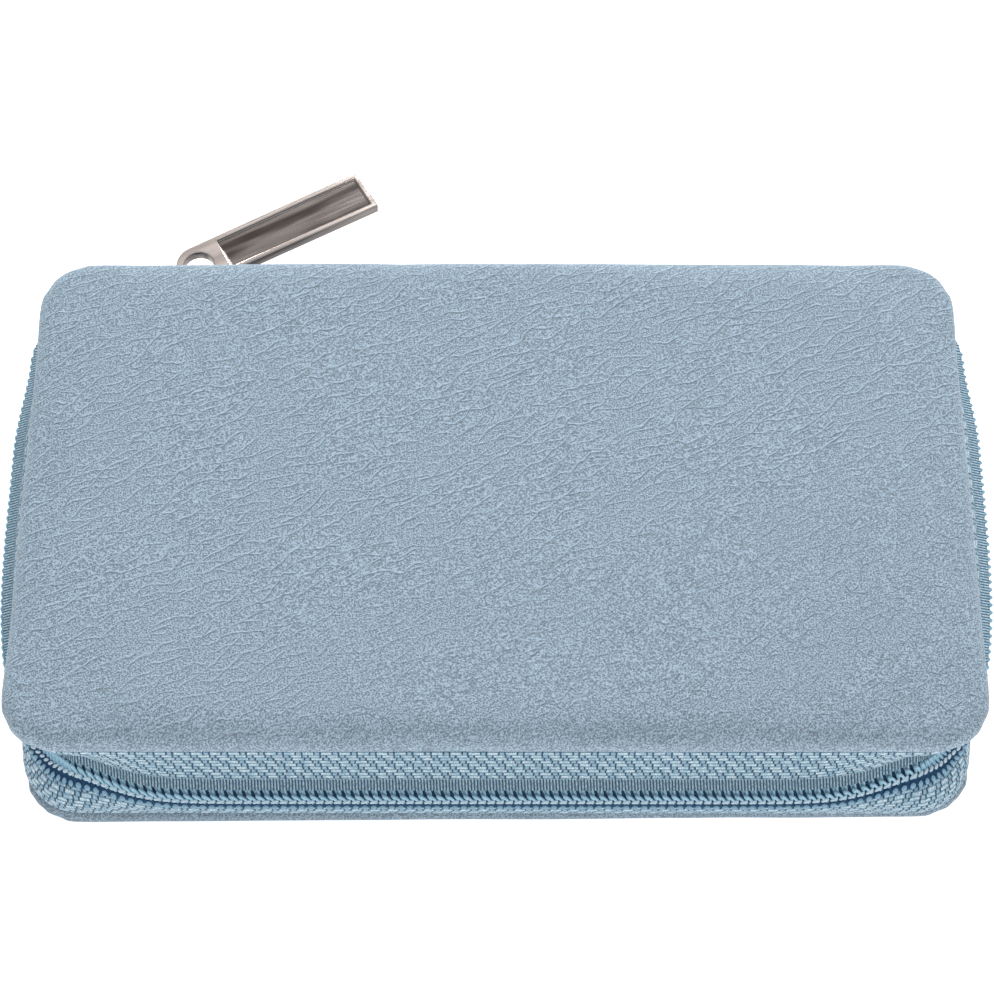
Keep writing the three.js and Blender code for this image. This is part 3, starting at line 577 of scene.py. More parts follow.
def make_plain(name, color, roughness, tones, patch, bump, bump_size, sheen=0.0):
    """A finish with slow patches of tone and a fine bump, whose sizes are in millimetres."""
    finish = Finish(name, color, roughness, Sheen_Weight=sheen)
    place = finish.place()
    mottle = finish.noise(place, 1 / (patch * MM), 3)
    finish.feed("Base Color", finish.tones(mottle, color, *tones))
    finish.feed("Roughness", roughness - roughness_spread / 2 + mottle * roughness_spread)
    finish.relief(finish.noise(place, 1 / (bump_size * MM), 3), bump * MM)
    finishes[name] = finish.material


for name, settings in nylon_finishes.items():
    make_plain(name, *settings)
print("nylon and thread ready")

# %% [markdown]
# The slider, its link and the tab are plated in gunmetal. The plating is a mirror with a little
# haze. The sunk panel of the tab is painted darker than its polished rim, as a painted dark
# reflection. The instruments are brushed steel, whose fine scratches run along the case's length.

# %% The metals
gunmetal_color = srgb(198, 187, 181)
steel_color = srgb(206, 208, 212)
tab_turn = math.radians(29.4)
scratch_stretch = 12
scratch_size = 0.35 * MM
scratch_depth = 0.006 * MM
haze_size = 1.5 * MM
haze_roughness = 0.06


def make_metal(name, color, roughness, scratch, turn=0.0, tones=(0.92, 1.05)):
    """A polished metal with fine scratches along X, or turned from it."""
    finish = Finish(name, color, roughness, Metallic=1.0)
    stretched = finish.node("ShaderNodeMapping", {"vector_type": "TEXTURE"},
                            {"Vector": finish.place(), "Rotation": (0, 0, turn),
                             "Scale": (scratch_stretch, 1, 1)})
    scratches = finish.noise(stretched, 1 / scratch_size, 3)
    haze = finish.noise(stretched, 1 / haze_size, 2)
    finish.feed("Roughness", roughness - scratch / 2 + scratches * scratch + haze * haze_roughness)
    finish.feed("Base Color", finish.tones(finish.step(haze, 0.3, 0.7), color, *tones))
    finish.relief(scratches, scratch_depth)
    finishes[name] = finish.material


make_metal("gunmetal", gunmetal_color, 0.16, 0.05, tab_turn, (0.85, 1.15))
# A darker plating for the tab: a painted dark reflection
make_metal("painted_dark_reflection", shaded(gunmetal_color, 0.22), 0.17, 0.05, tab_turn, (0.5, 1.8))
make_metal("tool_steel", steel_color, 0.24, 0.12)
print("metals ready")

# %% [markdown]
# Inside, the panels are lined with velour over a stiff board and thin foam. The file's blade is
# coated with grit, whose sparkle is a fine speckle of tone, roughness and bump.

# %% The lining, the board, the foam, the grit and the moulded handle
# The same order of values as before; the velour ends with its sheen
inner_finishes = {
    "velour": (srgb(183, 200, 214), 0.95, (0.9, 1.08), 6, 0.2, 0.35, 0.4),
    "stiff_board": (srgb(154, 146, 136), 0.9, (0.9, 1.1), 8, 0.1, 0.6),
    "thin_foam": (srgb(233, 228, 216), 0.95, (0.9, 1.05), 3, 0.3, 0.5),
    "file_grit": (srgb(150, 158, 168), 0.7, (0.6, 1.4), 0.2, 0.1, 0.16),
    "handle_plastic": (srgb(143, 168, 190), 0.35, (0.95, 1.05), 10, 0.02, 0.4),
}
for name, settings in inner_finishes.items():
    make_plain(name, *settings)
print(len(finishes), "finishes")

# %% [markdown]
# A piece ends as an object that rides on a body of the frame, or on none. The function
# new_piece does the steps that every piece shares. Edges sharper than an angle stay crisp and
# the rest are shaded smooth.

# %% Turning a mesh into a piece
sharp_angle = math.radians(38)
finer = ("SUBSURF", {"levels": 1, "render_levels": 1})


def new_piece(name, mesh, finish, body=None, replaces=()):
    """An object at the origin with its finish and its body."""
    mesh.name = name
    mesh.materials.clear()
    mesh.materials.append(finishes[finish])
    mesh.shade_smooth()
    mesh.set_sharp_from_angle(angle=sharp_angle)
    piece = bpy.data.objects.new(name, mesh)
    bpy.context.scene.collection.objects.link(piece)
    if body:
        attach(piece, body)
    if replaces:
        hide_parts(*replaces)
    return piece


def bevelled(bm, edges, offset, segments, **more):
    """Rounds edges off, with the settings that the editor's own bevel has."""
    bmesh.ops.bevel(bm, geom=edges, offset=offset, segments=segments, profile=0.5, affect="EDGES",
                    material=-1, **more)


def to_mesh(bm):
    """A plain mesh from a bmesh, which is freed."""
    mesh = bpy.data.meshes.new("piece")
    bm.to_mesh(mesh)
    bm.free()
    return mesh


def with_modifiers(mesh, *steps):
    """A mesh after the given modifiers. Each step is a kind and its settings."""
    holder = bpy.data.objects.new("holder", mesh)
    bpy.context.scene.collection.objects.link(holder)
    for kind, settings in steps:
        modifier = holder.modifiers.new(kind.lower(), kind)
        for name, value in settings.items():
            setattr(modifier, name, value)
    graph = bpy.context.evaluated_depsgraph_get()
    done = bpy.data.meshes.new_from_object(holder.evaluated_get(graph))
    bpy.data.objects.remove(holder)
    bpy.data.meshes.remove(mesh)
    return done


def triangles(mesh):
    """How many triangles a mesh has."""
    return sum(len(polygon.vertices) - 2 for polygon in mesh.polygons)


print("piece helpers ready")

# %% [markdown]
# A panel is a rounded slab. A cube gets its upright edges rounded first, and then the rims of
# its two faces, which gives the half-round edge of a wrapped board. A slab that is rebuilt from
# small even squares has steps, so these are smoothed away, and its box is restored.

# %% A rounded slab
corner_segments = 12
rim_segments = 6
smoothings = 5


def soft_step(value, low, high):
    """A soft step from 0 at low to 1 at high."""
    share = min(max((value - low) / (high - low), 0), 1)
    return share * share * (3 - 2 * share)


def rounded_slab(inset, low, high, rim, corner=corner_radius):
    """A slab with the case's outline, less an inset, and rounded rims."""
    bm = bmesh.new()
    bmesh.ops.create_cube(bm, size=1)
    size = (2 * (half_length - inset), 2 * (half_depth - inset), high - low)
    bmesh.ops.scale(bm, vec=size, verts=bm.verts)
    bmesh.ops.translate(bm, vec=(0, 0, (low + high) / 2), verts=bm.verts)
    upright = [edge for edge in bm.edges if abs(edge.verts[0].co.z - edge.verts[1].co.z) > (high - low) / 2]
    bevelled(bm, upright, corner - inset, corner_segments)
    middle = (low + high) / 2
    rims = [edge for edge in bm.edges
            if (edge.verts[0].co.z - middle) * (edge.verts[1].co.z - middle) > 0]
    bevelled(bm, rims, rim, rim_segments)
    return to_mesh(bm)


def evened(mesh, low, high):
    """Smooths away the small squares' steps, and then stretches the mesh back to its box."""
    mesh = with_modifiers(mesh, ("SMOOTH", {"factor": 0.5, "iterations": smoothings}))
    for axis in range(3):
        places = [vertex.co[axis] for vertex in mesh.vertices]
        least, most = min(places), max(places)
        for vertex in mesh.vertices:
            share = (vertex.co[axis] - least) / (most - least)
            vertex.co[axis] = low[axis] + share * (high[axis] - low[axis])
    return mesh


print("slab helpers ready")

# %% [markdown]
# The lid swells like padded fabric: Cloth with pressure and no gravity pushes the skin out, the
# move of each point is held back softly, and what is left is a slight crown with soft edges.

# %% Swelling a skin
cloth_frames = 20
cloth_pressure = 4
cloth_quality = 4


def swollen(mesh, limit, upwards):
    """The mesh after a cloth pressure run, with every move held under a limit."""
    start = [vertex.co.copy() for vertex in mesh.vertices]
    holder = bpy.data.objects.new("swelling", mesh)
    bpy.context.scene.collection.objects.link(holder)
    cloth = holder.modifiers.new("cloth", "CLOTH")
    cloth.settings.use_pressure = True
    cloth.settings.uniform_pressure_force = cloth_pressure
    cloth.settings.effector_weights.gravity = 0
    cloth.settings.quality = cloth_quality
    cloth.point_cache.frame_end = cloth_frames
    for moment in range(1, cloth_frames + 1):
        bpy.context.scene.frame_set(moment)
    graph = bpy.context.evaluated_depsgraph_get()
    blown = holder.evaluated_get(graph).to_mesh()
    ends = [vertex.co.copy() for vertex in blown.vertices]
    holder.evaluated_get(graph).to_mesh_clear()
    bpy.data.objects.remove(holder)
    bpy.context.scene.frame_set(1)
    widest = max((end - begin).length for begin, end in zip(start, ends))
    for vertex, begin, end in zip(mesh.vertices, start, ends):
        move = end - begin
        if move.z * upwards < 0:
            move.z = 0
        if move.length > 0:
            vertex.co = begin + move.normalized() * limit * math.tanh(move.length / limit)
    print("swelled up to", round(widest / MM, 2), "mm before the limit")
    return mesh


def crowned(mesh, limit, upwards, middle):
    """A crown worked out by a formula, as a stand-in for the swelling."""
    for vertex in mesh.vertices:
        if (vertex.co.z - middle) * upwards > 0:
            share = max(abs(vertex.co.x) / half_length, abs(vertex.co.y) / half_depth)
            vertex.co.z += upwards * limit * (1 - share ** 4)
    return mesh


print("swelling ready")

# %% [markdown]
# No wrapped edge is quite straight. Noise lets the rims wander, the lid's long edges bow out,
# and the base is pressed down where the tape is sewn in. The skin is turned in over the board's
# edge, so the middle of the inner face is cut away before the skin gets its thickness.

# %% Soft edges and the turned-in rim
leather = 0.9 * MM
turned_edge = 6 * MM
facing = 0.9
edge_sway = 0.12 * MM
edge_wave = 17 * MM
lift_pace = 1.7
front_bow = 0.85 * MM
back_bow = 1.1 * MM
corner_fill = 0.45 * MM


def swayed_edges(mesh, seed):
    """Lets the rim wander a little, as a wrapped edge does."""
    for vertex in mesh.vertices:
        place = Vector((vertex.co.x, vertex.co.y, seed * edge_wave)) / edge_wave
        level = Vector((vertex.co.x, vertex.co.y, 0)).normalized()
        vertex.co += level * noise.noise(place) * edge_sway
        vertex.co.z += noise.noise(place * lift_pace) * edge_sway
    return mesh


def filled_out(mesh):
    """Lets the lid's long edges bow out and its corners fill out, as leather on foam does."""
    for vertex in mesh.vertices:
        x, y = vertex.co.x, vertex.co.y
        middle = max(0, 1 - (x / corner_x) ** 2)
        cornered = (soft_step(abs(x), corner_x - corner_radius, half_length)
                    * soft_step(abs(y), corner_y - corner_radius, half_depth))
        vertex.co.x += math.copysign(corner_fill * cornered, x)
        vertex.co.y += math.copysign(corner_fill * cornered, y)
        bow = back_bow * soft_step(y, 0, half_depth) - front_bow * soft_step(-y, 0, half_depth)
        vertex.co.y += middle * bow
    return mesh


def seated(mesh, lip, slope):
    """Presses down the turned edge of the base, from its lip inwards, where the tape is sewn in."""
    for vertex in mesh.vertices:
        beyond = Vector((max(abs(vertex.co.x) - corner_x, 0), max(abs(vertex.co.y) - corner_y, 0)))
        depth = corner_radius - beyond.length
        if depth < corner_radius:
            vertex.co.z = min(vertex.co.z, lip + slope * depth)
    return mesh


def opened_shell(mesh, inner_level, upwards):
    """Cuts the middle out of the inner face and gives the skin its thickness."""
    bm = bmesh.new()
    bm.from_mesh(mesh)
    inner = [face for face in bm.faces if face.normal.z * upwards < -facing
             and abs(face.calc_center_median().x) < half_length - turned_edge
             and abs(face.calc_center_median().y) < half_depth - turned_edge
             and abs(face.calc_center_median().z - inner_level) < leather]
    bmesh.ops.delete(bm, geom=inner, context="FACES")
    bm.to_mesh(mesh)
    bm.free()
    return with_modifiers(mesh, ("SOLIDIFY", {"thickness": leather, "offset": -1}))


print("edges up to", round(back_bow / MM, 1), "mm out of line")

# %% [markdown]
# Each skin is made in the same steps, from a slab that the voxel remesh rebuilds in small even
# squares. Only the lid is swollen, because the base lies on its face. The base is turned a
# little against the lid, as a soft case comes to lie.

# %% The padded skins of the lid and the base
rim_share = 0.97
skin_voxel = 1.5 * MM
lid_crown = 0.9 * MM
base_lip = 3.1 * MM
base_corner = 8.2 * MM
base_turn = math.radians(0.45)
seat_slope = 0.45


def padded_skin(name, node, limit, upwards, body, seed, lip=None):
    """The skin of one panel, with its padded face up or down, and with a lip if the tape needs a seat."""
    low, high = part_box(node)
    outer, inner = (high.z - limit, low.z) if upwards > 0 else (low.z, high.z)
    bottom, top = min(outer, inner), max(outer, inner)
    rim = (top - bottom) / 2 * rim_share
    mesh = with_modifiers(rounded_slab(0, bottom, top, rim, base_corner if lip else corner_radius),
                          ("REMESH", {"mode": "VOXEL", "voxel_size": skin_voxel}))
    mesh = evened(mesh, (-half_length, -half_depth, bottom), (half_length, half_depth, top))
    if limit:
        mesh = swollen(mesh, limit, upwards)
    elif limit:
        mesh = crowned(mesh, limit, upwards, (bottom + top) / 2)
    mesh = with_modifiers(mesh, finer)
    if lip:
        mesh = seated(mesh, lip, seat_slope)
        mesh.transform(Matrix.Rotation(base_turn, 4, "Z"))
    else:
        mesh = filled_out(mesh)
    mesh = opened_shell(swayed_edges(mesh, seed), inner, upwards)
    # The base takes the darker leather of painted shade
    skin = new_piece(name, mesh, "base_leather_painted_shade" if lip else "case_leather", body, [node])
    print(name, triangles(mesh), "triangles")


padded_skin("lid_skin", "lid_cover", lid_crown, 1, "lid", 1)
padded_skin("base_skin", "base_cover", 0, -1, "base", 2, base_lip)

# %% [markdown]
# Everything on the wall of the case, the tapes, the coils and the stitching, is first made
# straight, as it comes off the roll: x is the distance from the middle of the front, and -y is
# the distance outwards. It is then bent round the case in one go by moving its vertices. The
# wall bellies out between the panels, most of all at the sides, and is drawn in at the front
# corners, which is what makes the zip dip in front.

# %% Bending a straight strip round the case
front_belly = 1.15 * MM
side_belly = 3.9 * MM
rear_loss = 0.33
rear_reach = 16 * MM
front_slump = 1.45 * MM
side_slump = 0.4 * MM
side_rise = 12 * MM
side_lead = 6 * MM
corner_pull = 5.3 * MM
pull_lead = 3.3 * MM
pull_front = 10.5 * MM
pull_side = 20 * MM
coil_gap = 0.3 * MM
corner_arc = corner_radius * math.pi / 2
side_start = corner_x + corner_arc
side_end = side_start + 2 * corner_y
back_start = side_end + corner_arc
wall_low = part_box("lower_tape")[0].z
wall_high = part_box("upper_tape")[1].z
chain_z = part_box("lower_coil")[1].z + coil_gap / 2
slump_drop = 3.8 * MM
slump_foot = 1.6 * MM


def backness(run):
    """0 along the front and the sides, and 1 along the back."""
    return soft_step(run, side_end, back_start)


def belly_at(run):
    """How far the wall bellies out at a distance from the middle of the front."""
    rise = soft_step(run, side_start - side_lead, side_start - side_lead + side_rise)
    free = front_belly + (side_belly - front_belly) * rise
    from_pull = run - (corner_x + corner_arc / 2 - pull_lead)
    drawn = corner_pull * math.exp(-(from_pull / (pull_front if from_pull < 0 else pull_side)) ** 2)
    kept = 1 - rear_loss * soft_step(run, side_end - rear_reach, side_end)
    return (free * kept - drawn) * (1 - backness(run))


def belly_share(z):
    """The part of the belly that a level has: none at the panels, and all half-way up."""
    share = min(max((z - wall_low) / (wall_high - wall_low), 0), 1)
    return math.sin(math.pi * share) ** 2


def slump_at(run, z):
    """How far the slack lower half of the wall hangs out over the base, besides the belly."""
    amount = front_slump + (side_slump - front_slump) * soft_step(run, corner_x, side_start)
    below_chain = 1 - soft_step(z, chain_z - slump_drop, chain_z)
    above_foot = soft_step(z, wall_low - slump_foot, chain_z - slump_drop)
    return amount * below_chain * above_foot * (1 - backness(run))


def outline_at(run):
    """The right half of the outline: a point, and the direction outwards there."""
    if run <= corner_x:
        return Vector((run, -half_depth)), Vector((0, -1))
    if run <= side_start or side_end < run <= back_start:
        turn = (run - corner_x if run <= side_start else run - side_end + corner_arc) / corner_radius
        away = Vector((math.sin(turn), -math.cos(turn)))
        centre = Vector((corner_x, -corner_y if run <= side_start else corner_y))
        return centre + away * corner_radius, away
    if run <= side_end:
        return Vector((half_length, run - side_start - corner_y)), Vector((1, 0))
    return Vector((corner_x - (run - back_start), half_depth)), Vector((0, 1))


def wall_point(along, out, z):
    """A place on the wall from its distances along, out and up."""
    point, away = outline_at(abs(along))
    point = point + away * (out + belly_at(abs(along)) * belly_share(z) + slump_at(abs(along), z))
    return Vector((math.copysign(1, along) * point.x, point.y, z))


def bend_round(bm):
    """Bends a straight bmesh round the case."""
    for vertex in bm.verts:
        vertex.co = wall_point(vertex.co.x, -vertex.co.y, vertex.co.z)


print("wall from", round(wall_low / MM, 1), "to", round(wall_high / MM, 1), "mm")

# %% [markdown]
# Each tape is one long sheet: a hem that lies under the panel's turned edge, the wall, and the
# edge by the coil. A line through those places is spun without turning, which sweeps it
# along, and Solidify gives it its thickness. Towards the back each tape belongs to its panel
# and to the spine at once, so its stretches there are separate pieces that ride on no body.

# %% The two tapes
tape = 0.6 * MM
tape_middle = -1.5 * MM
tape_hem = 3.5 * MM
edge_clear = 0.7 * MM
seat_out = -0.5 * MM
seat_rise = 0.9 * MM
lap_out = -0.12 * MM
lap_rise = 1.9 * MM
lap_edge = 1.15 * MM
wall_steps = 16
along_step = 1.6 * MM
tape_end = back_start + corner_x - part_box("zip_tail_right")[0].x


def upper_line():
    """The upper tape's section from the hem's inner edge to the edge that laps the coil, as (out, z)."""
    hem = wall_high - tape / 2
    edge = chain_z + lap_rise
    line = [(tape_middle - tape_hem, hem), (tape_middle - tape_hem / 2, hem), (tape_middle - tape / 2, hem)]
    line += [(tape_middle, hem + (edge - hem) * (step + 0.5) / wall_steps) for step in range(wall_steps)]
    return line + [(tape_middle, edge), (lap_out, chain_z + lap_edge)]


def lower_line():
    """The lower tape's section: the hem dips over the base's seat, and the wall rises from its lip."""
    hem = wall_low + tape / 2
    foot = base_lip + seat_rise
    edge = chain_z - edge_clear
    line = [(tape_middle - tape_hem, hem), (tape_middle - tape_hem / 2, hem),
            (tape_middle - tape, hem - tape / 2), (tape_middle, foot + tape / 4),
            (seat_out - tape / 2, foot - tape / 4)]
    return line + [(seat_out, foot + (edge - foot) * step / wall_steps) for step in range(wall_steps + 1)]


def brought_back(bm):
    """Sets the lower tape back behind the coil, and wholly behind it along the spine."""
    for vertex in bm.verts:
        rise = soft_step(vertex.co.z, chain_z - slump_drop, chain_z - 2 * edge_clear)
        rear = backness(abs(vertex.co.x)) * soft_step(vertex.co.z, base_lip + seat_rise, wall_low + 3 * tape)
        if vertex.co.y < -tape_middle:
            vertex.co.y += (seat_out - tape_middle) * max(rise, rear)


def swept(line, start, end, step):
    """Sweeps a line of (out, z) places from start to end along a straight strip."""
    bm = bmesh.new()
    row = [bm.verts.new((start, -out, z)) for out, z in line]
    edges = [bm.edges.new(pair) for pair in zip(row, row[1:])]
    steps = max(1, round((end - start) / step))
    bmesh.ops.spin(bm, geom=row + edges, cent=(0, 0, 0), axis=(1, 0, 0), angle=0, steps=steps,
                   dvec=((end - start) / steps, 0, 0), use_merge=False, use_duplicate=False)
    return bm


def store_weave(bm, edge, side):
    """Writes the weave map: millimetres along the tape, and across it from the edge by the coil."""
    layer = bm.loops.layers.uv.new("weave")
    for face in bm.faces:
        for loop in face.loops:
            place = loop.vert.co
            across = abs(place.z - edge) + max(0, place.y - side)
            loop[layer].uv = (place.x / MM, across / MM)


def tape_mesh(upper, start, end):
    """One stretch of a tape, bent round the case."""
    bm = swept(upper_line() if upper else lower_line(), start, end, along_step)
    if not upper:
        brought_back(bm)
    store_weave(bm, chain_z + (lap_edge if upper else -edge_clear), -tape_middle)
    bend_round(bm)
    bmesh.ops.recalc_face_normals(bm, faces=bm.faces)
    return with_modifiers(to_mesh(bm), ("SOLIDIFY", {"thickness": tape, "offset": 0}))


print("lower tape's section", [(round(out / MM, 1), round(z / MM, 1)) for out, z in lower_line()][::4])

# %% [markdown]
# Behind the case a hem turns with its panel, while the coil's edge stays with the spine, so the
# tape bends at the crease. Here the stretches at the corners and the back are only baked in
# place, and ride on no body.


def fold(piece):
    """Bakes a wall piece's place into its mesh."""
    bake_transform(piece)


def wall_pieces(name, finish, panel, end, make, replaces):
    """The five stretches of a wall piece: the long middle rides on its panel, and the corners and the back
    are baked in place.
    """
    made = [new_piece(name, make(-side_end, side_end), finish, panel, replaces)]
    parts = (("_corner", side_end, back_start, 1), ("_back", back_start, end, 0))
    for word, side in (("_left", -1), ("_right", 1)):
        for part, first, last, slant in parts:
            stretch = sorted((side * first, side * last))
            piece = new_piece(name + word + part, make(*stretch), finish)
            fold(piece)
            made.append(piece)
    print(name, sum(triangles(piece.data) for piece in made), "triangles")
    return made


upper_tapes = wall_pieces("upper_zip_tape", "zip_tape", "lid", tape_end,
                          lambda first, last: tape_mesh(True, first, last), ["upper_tape"])
lower_tapes = wall_pieces("lower_zip_tape", "sewn_tape", "base", tape_end,
                          lambda first, last: tape_mesh(False, first, last), ["lower_tape"])
for piece, node in ((upper_tapes[2], "zip_tail_left"), (upper_tapes[4], "zip_tail_right")):
    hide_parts(node)

# %% [markdown]
# The coil is one nylon wire wound into a long helix, with slightly thicker heads where the two
# sides lock. Its points come from a formula, one turn every 1.3 mm, and a curve with a round
# bevel makes the wire. The upper helix is like the lower one turned over, half a turn along.

# %% The coils
coil_pitch = 1.3 * MM
turn_steps = 10
wire_radius = 0.22 * MM
head_swell = 0.3
coil_shear = 0.8 * MM
# In these tables True is the upper coil, and False the lower one
coil_depth = {True: (-1.25 * MM, -0.8 * MM), False: (-0.14 * MM, 0.14 * MM)}
coil_depth_back = (-0.7 * MM, 0.1 * MM)
head_lift = {True: 1.2 * MM, False: 0.35 * MM}
head_reach = {True: 0.8 * MM, False: 0.1 * MM}
corner_tuck = 0.75 * MM
tuck_lead = 3 * MM
tuck_fade = 12 * MM
head_back = 0.42 * MM
foot_reach = {True: 1.35 * MM, False: 1.8 * MM}
foot_back = 2.2 * MM
stop_gap = 0.3 * MM
coil_end = back_start + corner_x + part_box("top_stop_upper")[0].x - stop_gap


def tuck_at(run):
    """How far the coils slip behind the upper tape's edge at a front corner."""
    entry = soft_step(run, corner_x - tuck_lead, side_start - 2 * tuck_lead)
    return corner_tuck * entry * (1 - soft_step(run, side_start, side_start + tuck_fade))


def coil_place(upper, along):
    """A point of the wire, and how near it is to a head, at a distance along the zip."""
    turn = 2 * math.pi * (along / coil_pitch + (0.5 if upper else 0))
    rear = backness(abs(along))
    head = -head_reach[upper] + (head_reach[upper] + head_back) * rear
    foot = foot_reach[upper] + (foot_back - foot_reach[upper]) * rear
    up = 1 if upper else -1
    reach = (head + foot) / 2 - (foot - head) / 2 * math.cos(turn)
    deep, proud = (side + (back - side) * rear for side, back in zip(coil_depth[upper], coil_depth_back))
    nearness = (1 + math.cos(turn)) / 2
    out = (deep + proud) / 2 + (proud - deep) / 2 * math.sin(turn)
    out += head_lift[upper] * nearness ** 2 * (1 - rear) - tuck_at(abs(along))
    slant = up * coil_shear / 2 * math.cos(turn) * (1 - rear)
    return wall_point(along + slant, out, chain_z + up * reach), nearness


def coil_mesh(upper, start, end):
    """One stretch of a coil as a closed tube."""
    data = bpy.data.curves.new("coil", "CURVE")
    data.dimensions = "3D"
    data.bevel_depth = wire_radius
    data.bevel_resolution = 1
    data.use_fill_caps = True
    steps = round((end - start) / coil_pitch * turn_steps)
    spline = data.splines.new("POLY")
    spline.points.add(steps)
    for step, point in enumerate(spline.points):
        place, nearness = coil_place(upper, start + (end - start) * step / steps)
        point.co = (*place, 1)
        point.radius = 1 + head_swell * nearness ** 2
    holder = bpy.data.objects.new("coil", data)
    bpy.context.scene.collection.objects.link(holder)
    graph = bpy.context.evaluated_depsgraph_get()
    mesh = bpy.data.meshes.new_from_object(holder.evaluated_get(graph))
    bpy.data.objects.remove(holder)
    return mesh


wall_pieces("upper_zip_coil", "zip_coil", "lid", coil_end,
            lambda first, last: coil_mesh(True, first, last), ["upper_coil"])
wall_pieces("lower_zip_coil", "zip_coil", "base", coil_end,
            lambda first, last: coil_mesh(False, first, last), ["lower_coil"])

# %% [markdown]
# A pale cord of long slanted stitches is sewn over the legs of the lower coil. Below it the
# wire's rear turns bulge out like a row of beads. Stitches and bulges are small stretched
# spheres of a few dozen faces each, and the stitches are tilted.

# %% The stitching
stitch = {"out": 0.34 * MM, "drop": 1.25 * MM, "size": (0.6 * MM, 0.22 * MM, 0.23 * MM),
          "tilt": math.radians(-20)}
bulge = {"out": 0.1 * MM, "drop": 2.5 * MM, "size": (0.44 * MM, 0.3 * MM, 0.29 * MM), "tilt": 0}
rear_lift = 0.12
bead_sides = 8
bead_rings = 5


def row_mesh(bead, start, end):
    """A row of stretched spheres between two distances along the zip, one for each turn of the wire."""
    bm = bmesh.new()
    count = round((end - start) / coil_pitch)
    for index in range(count):
        along = start + (index + 0.5) * (end - start) / count
        rear = backness(abs(along))
        level = chain_z - bead["drop"] * (1 - rear * rear_lift)
        place = Matrix.Translation((along, -bead["out"], level))
        shape = Matrix.Rotation(bead["tilt"], 4, "Y") @ Matrix.Diagonal((*bead["size"], 1))
        bmesh.ops.create_uvsphere(bm, u_segments=bead_sides, v_segments=bead_rings, radius=1,
                                  matrix=place @ shape)
    bend_round(bm)
    return to_mesh(bm)


wall_pieces("coil_stitching", "stitch_thread", "base", coil_end,
            lambda first, last: row_mesh(stitch, first, last), [])
wall_pieces("coil_bulges", "coil_turns", "base", coil_end,
            lambda first, last: row_mesh(bulge, first, last), [])

# %% [markdown]
# The spine is the strip of skin between the two creases. It is one skin with the panels on the
# real case, so here it starts inside the base's rim, dips at the crease, runs up to the middle
# and does the same again under the lid. Each half turns smoothly over its own crease. A line
# of places is swept along the case's length and thickened inwards.

# %% The spine's skin
spine_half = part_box("spine_cover")[1].x
spine_middle = (wall_low + wall_high) / 2
skin_proud = 0.12 * MM
crease_dip = 0.45 * MM
crease_half = 1.1 * MM
spine_step = 2 * MM
rise_steps = 6
rim_shares = (0.2, 0.5)
beside_share = 0.6


def spine_line(panel):
    """The skin's outer side from inside the panel's rim to the spine's middle, as (y, z)."""
    low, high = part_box("base_cover" if panel == "base" else "lid_cover")
    up = 1 if panel == "base" else -1
    rim = (high.z - low.z - (0 if panel == "base" else lid_crown)) / 2
    start = low.z + rim
    crease = wall_low if panel == "base" else wall_high
    beside = half_depth + skin_proud * beside_share
    line = [(half_depth - leather, start), (half_depth - leather / 2, start + up * rim * rim_shares[0]),
            (half_depth + skin_proud / 2, start + up * rim * rim_shares[1]),
            (beside, crease - up * crease_half), (half_depth - crease_dip, crease),
            (beside, crease + up * crease_half)]
    first = crease + up * 2 * crease_half
    rise = spine_middle - first
    line += [(half_depth + skin_proud, first + rise * step / rise_steps) for step in range(rise_steps + 1)]
    return line


def strip_piece(name, line, half, thickness, finish, replaces=()):
    """A strip along the spine that bends over one crease. The line is (y, z) and faces outwards."""
    bm = swept([(-y, z) for y, z in line], -half, half, spine_step)
    bmesh.ops.recalc_face_normals(bm, faces=bm.faces)
    mesh = with_modifiers(to_mesh(bm), finer, ("SOLIDIFY", {"thickness": thickness, "offset": 0}))
    piece = new_piece(name, mesh, finish, None, replaces)
    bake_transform(piece)


spine_skins = (("spine_skin_low", "base", wall_low, -1, ["spine_cover"]),
               ("spine_skin_high", "lid", wall_high, 1, []))
for name, panel, crease, up, replaced in spine_skins:
    line = [(y - leather / 2, z) for y, z in spine_line(panel)]
    strip_piece(name, line, spine_half, leather, "spine_leather",
                replaced)
print("spine skin ready")

# %% [markdown]
# Inside, a narrow tape of velour covers each crease, so that no edge shows when the case lies
# open. The three linings are flat velour sheets with soft edges.

# %% The linings
lining_rim = 0.3 * MM
lining_segments = 3
hinge_tape = 0.3 * MM
hinge_reach = 1.6 * MM


def lining_piece(node, name, inset, body):
    """A velour sheet in a lining's place."""
    low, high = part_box(node)
    mesh = rounded_slab(inset, low.z, high.z, lining_rim)
    piece = new_piece(name, mesh, "velour", body, [node])


lining_inset = half_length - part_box("base_lining")[1].x
lining_piece("base_lining", "base_velour", lining_inset, "base")
lining_piece("lid_lining", "lid_velour", lining_inset, "lid")


def spine_velour():
    """The velour on the inner side of the spine."""
    low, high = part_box("spine_lining")
    bm = bmesh.new()
    bmesh.ops.create_cube(bm, size=1)
    bmesh.ops.scale(bm, vec=high - low, verts=bm.verts)
    bmesh.ops.translate(bm, vec=(low + high) / 2, verts=bm.verts)
    bevelled(bm, bm.edges[:], lining_rim, lining_segments)
    piece = new_piece("spine_velour", to_mesh(bm), "velour", "spine", ["spine_lining"])


spine_velour()


def hinge_line(panel):
    """The inner crease's line, from the panel's lining up to the spine's."""
    up = 1 if panel == "base" else -1
    lining_low, lining_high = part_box(panel + "_lining")
    face = lining_high.z if panel == "base" else lining_low.z
    back = lining_high.y
    spine_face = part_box("spine_lining")[0].y
    start = face + up * hinge_tape
    return [(back - hinge_reach, start), (back - hinge_reach / 2, start),
            (back - 2 * hinge_tape, start + up * hinge_tape),
            (spine_face - 2 * hinge_tape, start + up * hinge_reach / 2),
            (spine_face - hinge_tape, start + up * hinge_reach),
            (spine_face - hinge_tape, start + up * 2 * hinge_reach)]


